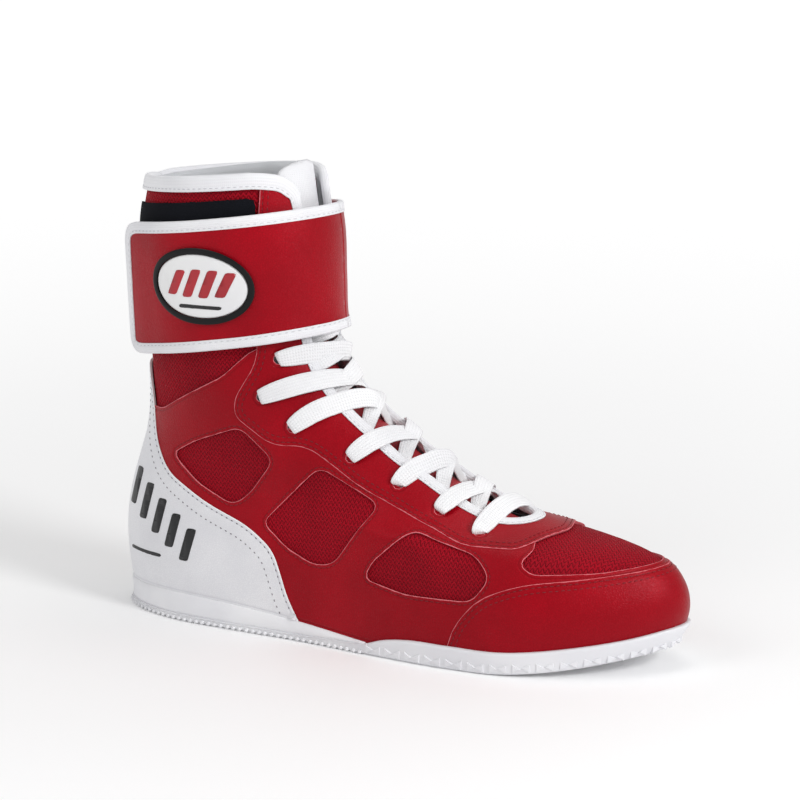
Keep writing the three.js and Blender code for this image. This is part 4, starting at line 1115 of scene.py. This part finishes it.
# %% [markdown]
# A white tape binds the top edge, turns down at each front corner and follows the throat to its toe end.
# It is one strip: outside, over the edge, and a little way in.

# %% Edge binding
BINDING_EDGE = [(15.8, 205.6), (88, 210.7), (97, 209.2), (101, 203), (102, 196.5)]
heel_to_toe = np.vstack((np.array([[0.0, 204.9]]), on_last(BINDING_EDGE, 7), throat_line(0.0, 195)))
edge_path = recut(across_toe(heel_to_toe), 1.6)[::-1]


def tape(path, width, section):
    """A tape over an edge: section pairs a share of the width in from the edge with a distance outwards."""
    lines = []
    for share, height in section:
        moved = beside(path, share * width)
        lines.append(off(moved[:, 0], moved[:, 1], height(*moved.T) if callable(height)
                         else np.full(len(moved), float(height))))
    return close_up(strip(lines, closed=True))


tape_width = 5.0 + 1.6 * ease(196, 207, edge_path[:, 1])
BINDING = [(1.0, 0.45), (0.99, 0.95), (0.86, 1.1), (0.78, 0.92), (0.70, 1.08), (0.45, 1.2), (0.15, 1.2),
           (-0.02, 0.95), (-0.1, 0.2), (-0.11, -0.9), (-0.06, -2.0), (0.1, -2.7), (0.5, -2.75), (0.9, -2.7),
           (0.92, -2.3), (0.2, -2.2), (0.08, -1.2), (0.12, 0.2)]
piece("edge_binding", tape(edge_path, tape_width, BINDING), white_tape, "boot",
      ("collar_binding_lateral", "collar_binding_medial", "throat_binding_lateral", "throat_binding_medial"))

# %% [markdown]
# The tongue is a padded strip behind the throat, in a paler leather with a lining behind.

# %% Tongue
TONGUE_HALF = 21.0


def tongue_lines(z, half, face, back):
    """Lines up the tongue, round its section: the face from side to side, then the back."""
    shares = np.sin(np.linspace(-math.pi / 2, math.pi / 2, 17))
    lines = []
    for k, outer in [(k, True) for k in shares] + [(k, False) for k in shares[::-1]]:
        y = 2.4 + k * half
        phi = at_y(z, y)
        middle, reach = (face + back) / 2, (face - back) / 2
        bulge = reach * math.sqrt(max(0, 1 - abs(k) ** 6))
        lines.append(off(phi, z, middle + (bulge if outer else -bulge)))
    return lines


z = np.concatenate((np.linspace(59.5, 72, 12), np.linspace(75, 204.5, 44)))
half = TONGUE_HALF * (0.62 + 0.38 * ease(58, 84, z))
tongue_bm = close_up(strip(tongue_lines(z, half, -5.15, -9.6), closed=True))
tongue = piece("tongue_pad", tongue_bm, tongue_leather, None,
               ("tongue_face", "tongue_foam", "tongue_lining"))
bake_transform(tongue)

z = np.concatenate((np.linspace(184, 206, 9), 206 + 8.6 * np.sin(np.linspace(0.12, math.pi / 2, 14))))
close_in = np.sqrt(np.maximum(0.0, 1 - ((z - 203) / 11.7).clip(0) ** 3.4))
half = (TONGUE_HALF + 0.5) * np.maximum(0.3, close_in)
thick = 2.6 * (0.25 + 0.75 * close_in)
top = close_up(strip(tongue_lines(z, half, -7.4 + thick, -7.4 - thick), closed=True))
piece("tongue_top", top, white_tape, "tongue", ("tongue_binding",))

# %% [markdown]
# The lace is one flat ribbed ribbon. A straight bar joins the lowest eyelets. From there each half goes
# down through its eyelet, under the facing, up in the throat and over the other facing to the next
# eyelet. The two halves cross between each pair. Both ends come up under the strap to their tips.

# %% Lace route
UNDER, OVER, CROSSING, SLACK = -3.3, 1.75, 1.5, 1.6


def way_between(start, end, shares):
    """Places on the straight way over the boot between two places."""
    first, final = last(*start), last(*end)
    across = np.cross(final - first, outward(*start) + outward(*end))
    phi = start[0] + (end[0] - start[0]) * np.asarray(shares, float)
    side = lambda z: ((last(phi, z) - first) * across).sum(-1)
    sign = np.sign(side(np.full(phi.shape, 50.0)))
    z = bisect(np.full(phi.shape, 50.0), np.full(phi.shape, 229.0), lambda h: np.sign(side(h)) == sign)
    return np.stack((phi, z), -1)


def lace_half(side):
    """Stops [phi, height, distance outwards, width] of one half, from the lowest eyelet up."""
    into = ((OVER, 7.0), (-0.8, 5.4), (UNDER, 5.2))
    stops = []
    for k in range(len(EYELETS) - 1):
        here = eyelet_places[2 * k + side]
        stops += [(*here, distance, width) for distance, width in into]
        over = (k % 2 == 0) == (side == 0)
        hump = OVER + (CROSSING if over else 0)
        plan = ((0.12, UNDER, 5.4), (0.27, UNDER, 6.8), (0.36, -0.6, 7.8), (0.46, hump - 0.2, 8.8),
                (0.58, hump, 9.2), (0.70, OVER + 0.1, 9.4), (0.83, OVER + 0.5, 9.4), (0.93, OVER + 0.5, 8.8))
        if k == len(EYELETS) - 2:
            hump = UNDER + (CROSSING if over else 0)
            plan = ((0.15, UNDER, 5.6), (0.4, hump, 7.0), (0.6, hump, 7.0), (0.85, UNDER, 5.6))
        shares = np.array([share for share, _, _ in plan])
        way = way_between(here, eyelet_places[2 * k + 2 + (1 - side)], shares)
        way[:, 1] += SLACK * np.sin(math.pi * shares)
        stops += [(*place, distance, width) for place, (_, distance, width) in zip(way, plan)]
        side = 1 - side
    last_one = eyelet_places[2 * len(EYELETS) - 2 + side]
    stops += [(*last_one, distance, 4.8) for distance, _ in into[::-1]]
    ridge = math.pi - last_one[0]
    stops += [(last_one[0] + ridge * share, last_one[1] + up, OVER, wide)
              for share, up, wide in ((0.05, 2, 6.6), (0.1, 6, 5.0), (0.1, 10, 2.4))]
    return np.array(stops)


print("lace stops in each half:", len(lace_half(0)))

# %% [markdown]
# A ribbon follows the stops on a smooth curve. Its width lies in the surface, and it is a little thicker
# where it is gathered narrow.

# %% Lace ribbon
def through(points, steps):
    """A smooth curve through points, Catmull and Rom's."""
    p = np.vstack((2 * points[0] - points[1], points, 2 * points[-1] - points[-2]))
    t = np.linspace(0, 1, steps, endpoint=False)[:, None]
    parts = [0.5 * (2 * b + (c - a) * t + (2 * a - 5 * b + 4 * c - d) * t ** 2
                    + (3 * b - a - 3 * c + d) * t ** 3) for a, b, c, d in zip(p, p[1:], p[2:], p[3:])]
    return np.vstack(parts + [points[-1:]])


def ribbon(stops, thick, steps=5):
    """A flat ribbon through stops, with rounded edges; its width lies in the surface."""
    middle = through(off(stops[:, 0], stops[:, 1], stops[:, 2]), steps)
    normal = unit(through(outward(stops[:, 0], stops[:, 1]), steps))
    width = through(stops[:, 3:4], steps) * MM
    ahead = unit(np.gradient(middle, axis=0))
    side = np.cross(normal, ahead)
    for i in range(1, len(side)):
        if np.linalg.norm(side[i]) < 0.45 or side[i] @ side[i - 1] < 0:
            side[i] = side[i - 1] - ahead[i] * (side[i - 1] @ ahead[i])
        side[i] = unit(side[i] * 0.55 + side[i - 1] * 0.45 - ahead[i] * (
            (side[i] * 0.55 + side[i - 1] * 0.45) @ ahead[i]))
    up = np.cross(ahead, side)
    full = thick * MM * (1 + 0.7 * np.clip(1 - width / (6.0 * MM), 0, 1))
    lines = []
    for turn in np.linspace(0, 2 * math.pi, 18, endpoint=False):
        a = np.sign(math.cos(turn)) * abs(math.cos(turn)) ** 0.75
        b = np.sign(math.sin(turn)) * abs(math.sin(turn)) ** 0.75
        lines.append(middle + side * width / 2 * a + up * full / 2 * b)
    return close_up(strip(lines, closed=True))


outer_half, inner_half = lace_half(0), lace_half(1)
bar = way_between(eyelet_places[0], eyelet_places[1], (0.08, 0.2, 0.35, 0.5, 0.65, 0.8, 0.92))
bar = np.column_stack((bar, np.full(7, OVER + 0.4), (8.6, 9.4, 9.4, 9.2, 9.4, 9.4, 8.6)))
whole_lace = np.vstack((outer_half[::-1], bar, inner_half))
piece("lace_ribbon", ribbon(whole_lace, 1.15), lace_weave, "boot", ("lace",))

# %% [markdown]
# Each lace end is bound in a small clear tip. A tip is a short cylinder with a rounded end and a crimp,
# made by scaling rings of one cone.

# %% Lace tips
for name, half in (("aglet_lateral", outer_half), ("aglet_medial", inner_half)):
    low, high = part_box(name)
    middle = (low + high) / 2
    tip = bmesh.new()
    bmesh.ops.create_cone(tip, cap_ends=True, segments=16, radius1=1.25 * MM, radius2=1.1 * MM,
                          depth=high.z - low.z, matrix=Matrix.Translation(middle))
    long_edges = [e for e in tip.edges if abs(e.verts[0].co.z - e.verts[1].co.z) > 2 * MM]
    bmesh.ops.subdivide_edges(tip, edges=long_edges, cuts=9)
    for vert in tip.verts:
        crimp = 1 - 0.16 * math.exp(-((vert.co.z - middle.z) / (1.6 * MM)) ** 2)
        for k in (0, 1):
            vert.co[k] = middle[k] + (vert.co[k] - middle[k]) * crimp
    piece(name + "_tip", tip, clear_tip, "boot", (name,), bevel=0.3)

# %% [markdown]
# The strap is a wide leather band, sewn on at the inner side, that folds round the shin and fastens over its
# loops on the outer side. It is cut in two on the shin. Its free end stands off the boot a little.

# %% Strap shape
STRAP = {"hinge": 2.42, "split": 3.3, "seam": 4.28, "end": 5.1}
TAPE_WIDTH, TAPE_SEWN = 4.6, 0.76
STRAP_END_X, STAND_OFF = 22.0, 4.2


def strap_top(x):
    return 182 + 0.118 * x


def strap_bottom(x):
    return 120.5 + 0.155 * x


def strap_edge(phi, top, inset=0.0):
    """The strap's top or bottom edge, drawn in by an inset, as [phi, height]."""
    law = (lambda x: strap_top(x) - inset) if top else (lambda x: strap_bottom(x) + inset)
    z = np.full(np.shape(phi), 150.0)
    for _ in range(6):
        z = law(last(phi, z)[..., 0])
    return np.stack((phi, z), -1)


def strap_level(rise):
    """The distance outwards of a layer of the strap, as a function of place."""
    def level(phi, _):
        free = 1.9 + 2.15 * ease(1.6, 2.3, phi) + STAND_OFF * (1 - ease(0.4, 1.05, phi))
        sewn = ease(STRAP["seam"], STRAP["end"], phi)
        return free * (1 - sewn) - 1.0 * sewn + rise
    return level


def strap_tip_edge(inset=0.0, radius=8.0):
    """The free half's edge: along the top from the split, down the end and back along the bottom."""
    ends = (107, STRAP_END_X + inset)
    top = [(x, strap_top(x) - inset) for x in ends]
    bottom = [(x, strap_bottom(x) + inset) for x in ends[::-1]]
    near = on_last(top + bottom, radius)
    phi = np.linspace(STRAP["split"], near[0, 0] + 0.06, 24)
    return np.vstack((strap_edge(phi, True, inset), near, strap_edge(phi[::-1], False, inset)))


def strap_rear_outline(inset):
    phi = np.linspace(STRAP["split"], STRAP["end"], 60)
    return np.vstack((strap_edge(phi, False, inset), strap_edge(phi[::-1], True, inset)))


def fold(thing, where):
    """Bakes a piece's placement into its mesh; the fold's two ends are found but not used."""
    start, end = [off(np.array(STRAP[where] + side), np.array(150.0), 3.0) for side in (0.16, -0.16)]
    Vector(start)
    Vector(end)
    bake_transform(thing)
    return thing


face = panel_mesh(strap_rear_outline(1.0), level=strap_level(1.95), rows=(0.0,), step=2.5)
fold(piece("strap_rear", face, red_leather, None, ("strap_anchor",), wall=1.85), "seam")
face = panel_mesh(strap_tip_edge(1.0, 7.0), level=strap_level(1.95), rows=(0.0,), step=2.5)
fold(piece("strap_face", face, red_leather, None,
           ("strap_front_face", "strap_front_backing", "strap_tip_face", "strap_tip_backing"), wall=1.85),
     "hinge")

# %% [markdown]
# White tape folds over the strap's edges. A line of stitches runs along it, in the dip that the thread
# pulls into the tape.

# %% Strap binding
FOLDED = [(share, strap_level(rise)) for share, rise in (
    (1.0, 1.9), (0.99, 2.4), (0.84, 2.5), (TAPE_SEWN, 2.28), (0.68, 2.48), (0.4, 2.62), (0.1, 2.6),
    (-0.06, 2.2), (-0.12, 1.0), (-0.06, -0.05), (0.15, -0.35), (0.8, -0.35), (0.85, 0.1))]
split_top = np.linspace(STRAP["end"], STRAP["split"], 70)
tip_path = recut(strap_tip_edge(), 1.6)
rear_top = recut(strap_edge(split_top, True), 1.6)
rear_bottom = recut(strap_edge(split_top[::-1], False), 1.6)
for name, path, stands_for, where in (
        ("strap_tip_tape", tip_path, "strap_tip_binding", "hinge"),
        ("strap_rear_tape_top", rear_top, "strap_front_binding_top", "seam"),
        ("strap_rear_tape_bottom", rear_bottom, "strap_front_binding_bottom", "seam")):
    folded = tape(path, TAPE_WIDTH, FOLDED)
    fold(piece(name, folded, white_tape, None, (stands_for,)), where)

# %% [markdown]
# The strap fastens with hook and loop: a wide field of loops sewn to the boot, and a smaller field of
# hooks inside the strap's free end.

# %% Hook and loop
HOOKS = [(32, 134), (84, 139), (84, 184), (32, 178)]
LOOPS = [(17.5, 131), (88, 137), (88, 200), (17.5, 193.5)]
hooks = panel_mesh(closed_outline(HOOKS, 4), level=strap_level(-0.35), rows=(0.0,), step=3)
piece("hook_patch", hooks, black_loops, "strap_tip", ("hook_pad",), wall=1.0)
loops = panel_mesh(closed_outline(LOOPS, 3), level=0.25, rows=(0.0,), step=3)
piece("loop_patch", loops, black_loops, "boot", ("loop_pad",), wall=1.2, bevel=0.3)

# %% [markdown]
# An oval badge sits on the strap's free end: a raised black ring round a white plate, with a plain mark
# of slanted bars.

# %% Badge
BADGE = (65.0, 160.4)


def oval(half_long, half_high):
    """An oval laid on the strap, its length measured round the strap's own curve."""
    turn = np.linspace(0, 2 * math.pi, 72, endpoint=False)
    phi = np.linspace(0.5, 2.4, 400)
    level = np.full(phi.shape, BADGE[1])
    at = off(phi, level, strap_level(3.0)(phi, level)) / MM
    run = np.concatenate(([0], np.cumsum(np.linalg.norm(np.diff(at, axis=0), axis=1))))
    run -= np.interp(float(phi_at(*BADGE)), phi, run)
    return np.stack((np.interp(half_long * np.cos(turn), run, phi), BADGE[1] + half_high * np.sin(turn)), -1)


def slanted(x, z, long, high, lean):
    """A leaning bar seen from the side, as an outline on the last."""
    corners = [(x - long / 2 - lean, z - high / 2), (x + long / 2 - lean, z - high / 2),
               (x + long / 2 + lean, z + high / 2), (x - long / 2 + lean, z + high / 2)]
    return closed_outline(corners, 0.8)


ring = panel_mesh(oval(26.8, 17.4), [oval(23.9, 14.6)], level=strap_level(3.75), rows=(0.0, 0.45, 0.9),
                  step=1.6, groove=0.0)
piece("badge_rim", ring, black_gloss, "strap_tip", ("badge_ring",), wall=1.5, bevel=0.35)
plate = panel_mesh(oval(23.8, 14.5), level=strap_level(3.15), rows=(0.0, 0.5, 1.1), step=2, groove=0.0)
piece("badge_face", plate, white_gloss, "strap_tip", ("badge_plate",), wall=0.9)


def mark(name, bars, level, material, body):
    """A printed mark of leaning bars, a little proud of what it is printed on."""
    bm = bmesh.new()
    for bar_at in bars:
        part = panel_mesh(slanted(*bar_at), level=level, rows=(0.0,), step=1.2)
        scratch = bpy.data.meshes.new("scratch")
        part.to_mesh(scratch)
        part.free()
        bm.from_mesh(scratch)
        bpy.data.meshes.remove(scratch)
    return piece(name, bm, material, body, wall=0.14)


mark("badge_bars", [(54 + 7.6 * k, 161.6, 4.6, 13.5 - 1.4 * abs(k - 1.5), 2.6) for k in range(4)],
     strap_level(3.28), red_gloss, "strap_tip")
mark("badge_line", [(65, 151, 20, 1.6, 0.4)], strap_level(3.28), black_print, "strap_tip")
mark("heel_bars", [(14 + 9.2 * k, 58 - 5.4 * k, 5.4, 18 - 0.6 * k, 2.4) for k in range(5)], 0.72,
     black_print, "boot")
mark("heel_line", [(23, 28.5, 23, 1.5, 0.4)], 0.72, black_print, "boot")

# %% [markdown]
# Stitches are modelled one by one, because their rows are what makes panels look sewn. Each is a tiny
# rounded bar of thread, laid in the groove beside an edge.

# %% Stitches
def inside(outline, distance, left=True):
    ring_line = turned(recut(np.vstack((outline, outline[:1])), 1.6)[:-1], left)
    moved = beside(ring_line, distance, closed=True)
    return np.vstack((moved, moved[:1]))


stitches("window_stitches", [(inside(window, 1.6, left=False), -0.2) for window in windows], red_thread,
         "boot")
edge = recut(across_toe(on_last(STAY_EDGE, 7))[::-1], 1.6)
stitches("facing_stitches", [(beside(edge, -1.6), 0.32), (beside(edge, -3.9), 0.52)], red_thread,
         "boot")
edge = recut(across_toe(on_last(TOE_CAP, 9)), 1.6)
stitches("toe_cap_stitches", [(beside(edge, -1.6), 0.38), (beside(edge, -3.9), 0.57)], red_thread,
         "boot")
edge = recut(across_heel(on_last(HEEL_CAP, 7)), 1.6)
stitches("heel_cap_stitches", [(beside(edge, 1.6), 0.42), (beside(edge, 7.4), 0.6)], dark_thread,
         "boot", pitch=3.0, length=1.2, width=0.5)
sewn_line = beside(edge_path, tape_width * 0.78)
stitches("binding_stitches", [(sewn_line, 0.95)], white_thread, "boot")
for name, paths, where in (("strap_tip_stitches", (tip_path,), "hinge"),
                           ("strap_rear_stitches", (rear_top, rear_bottom), "seam")):
    sewn = [(beside(path, TAPE_WIDTH * TAPE_SEWN), strap_level(2.3)) for path in paths]
    fold(stitches(name, sewn, white_thread, None), where)

# %% [markdown]
# The boot stands on a wide pale floor, with one clear light from the toe's side and two soft ones. Far
# from the boot the floor glows a little, so that it stays as bright as it is near the lights.

# %% Floor and lights
def area_light(name, where, aim, size, power):
    light = bpy.data.lights.new(name, "AREA")
    light.shape, light.size, light.energy = "DISK", size, power
    lamp = bpy.data.objects.new(name, light)
    bpy.context.scene.collection.objects.link(lamp)
    lamp.location = where
    lamp.rotation_euler = (Vector(aim) - Vector(where)).to_track_quat("-Z", "Y").to_euler()


bm = bmesh.new()
bmesh.ops.create_grid(bm, x_segments=2, y_segments=2, size=150)
mesh = bpy.data.meshes.new("floor")
bm.to_mesh(mesh)
bm.free()
floor = bpy.data.objects.new("floor", mesh)
bpy.context.scene.collection.objects.link(floor)
floor_paint, w, shader = start_material("floor_paint", Roughness=0.6)
shader.inputs["Emission Color"].default_value = (1, 1, 1, 1)
place = w.node("TexCoord").outputs["Object"]
shade = w.node("TexNoise", {"Vector": place, "Scale": 3.0})
spot = w.node("SeparateXYZ", {"Vector": place})
far = w.math("ADD", w.math("MULTIPLY", spot.outputs["X"], spot.outputs["X"]),
             w.math("MULTIPLY", spot.outputs["Y"], spot.outputs["Y"]))
glow = w.math("ADD", w.math("MULTIPLY", w.math("DIVIDE", far, w.math("ADD", far, 0.9)), 0.52), 0.04)
w.tree.links.new(glow, shader.inputs["Emission Strength"])
w.tree.links.new(w.mix(shade.outputs["Fac"], (0.93, 0.93, 0.935, 1), (0.95, 0.95, 0.95, 1)),
                 shader.inputs["Base Color"])
mesh.materials.append(floor_paint)
world = bpy.data.worlds.new("studio")
bpy.context.scene.world = world
world.use_nodes = True
world.node_tree.nodes["Background"].inputs["Color"].default_value = (1, 1, 1, 1)
world.node_tree.nodes["Background"].inputs["Strength"].default_value = 0.52
area_light("key", (1.35, -0.4, 0.9), (0, 0, 0.12), 0.45, 13)
area_light("fill", (-0.7, -1.3, 1.2), (0, 0, 0.1), 1.0, 4.5)
area_light("top", (0.1, 0.2, 1.8), (0, 0, 0.1), 1.0, 4.5)
bpy.context.scene.view_settings.view_transform = "Standard"
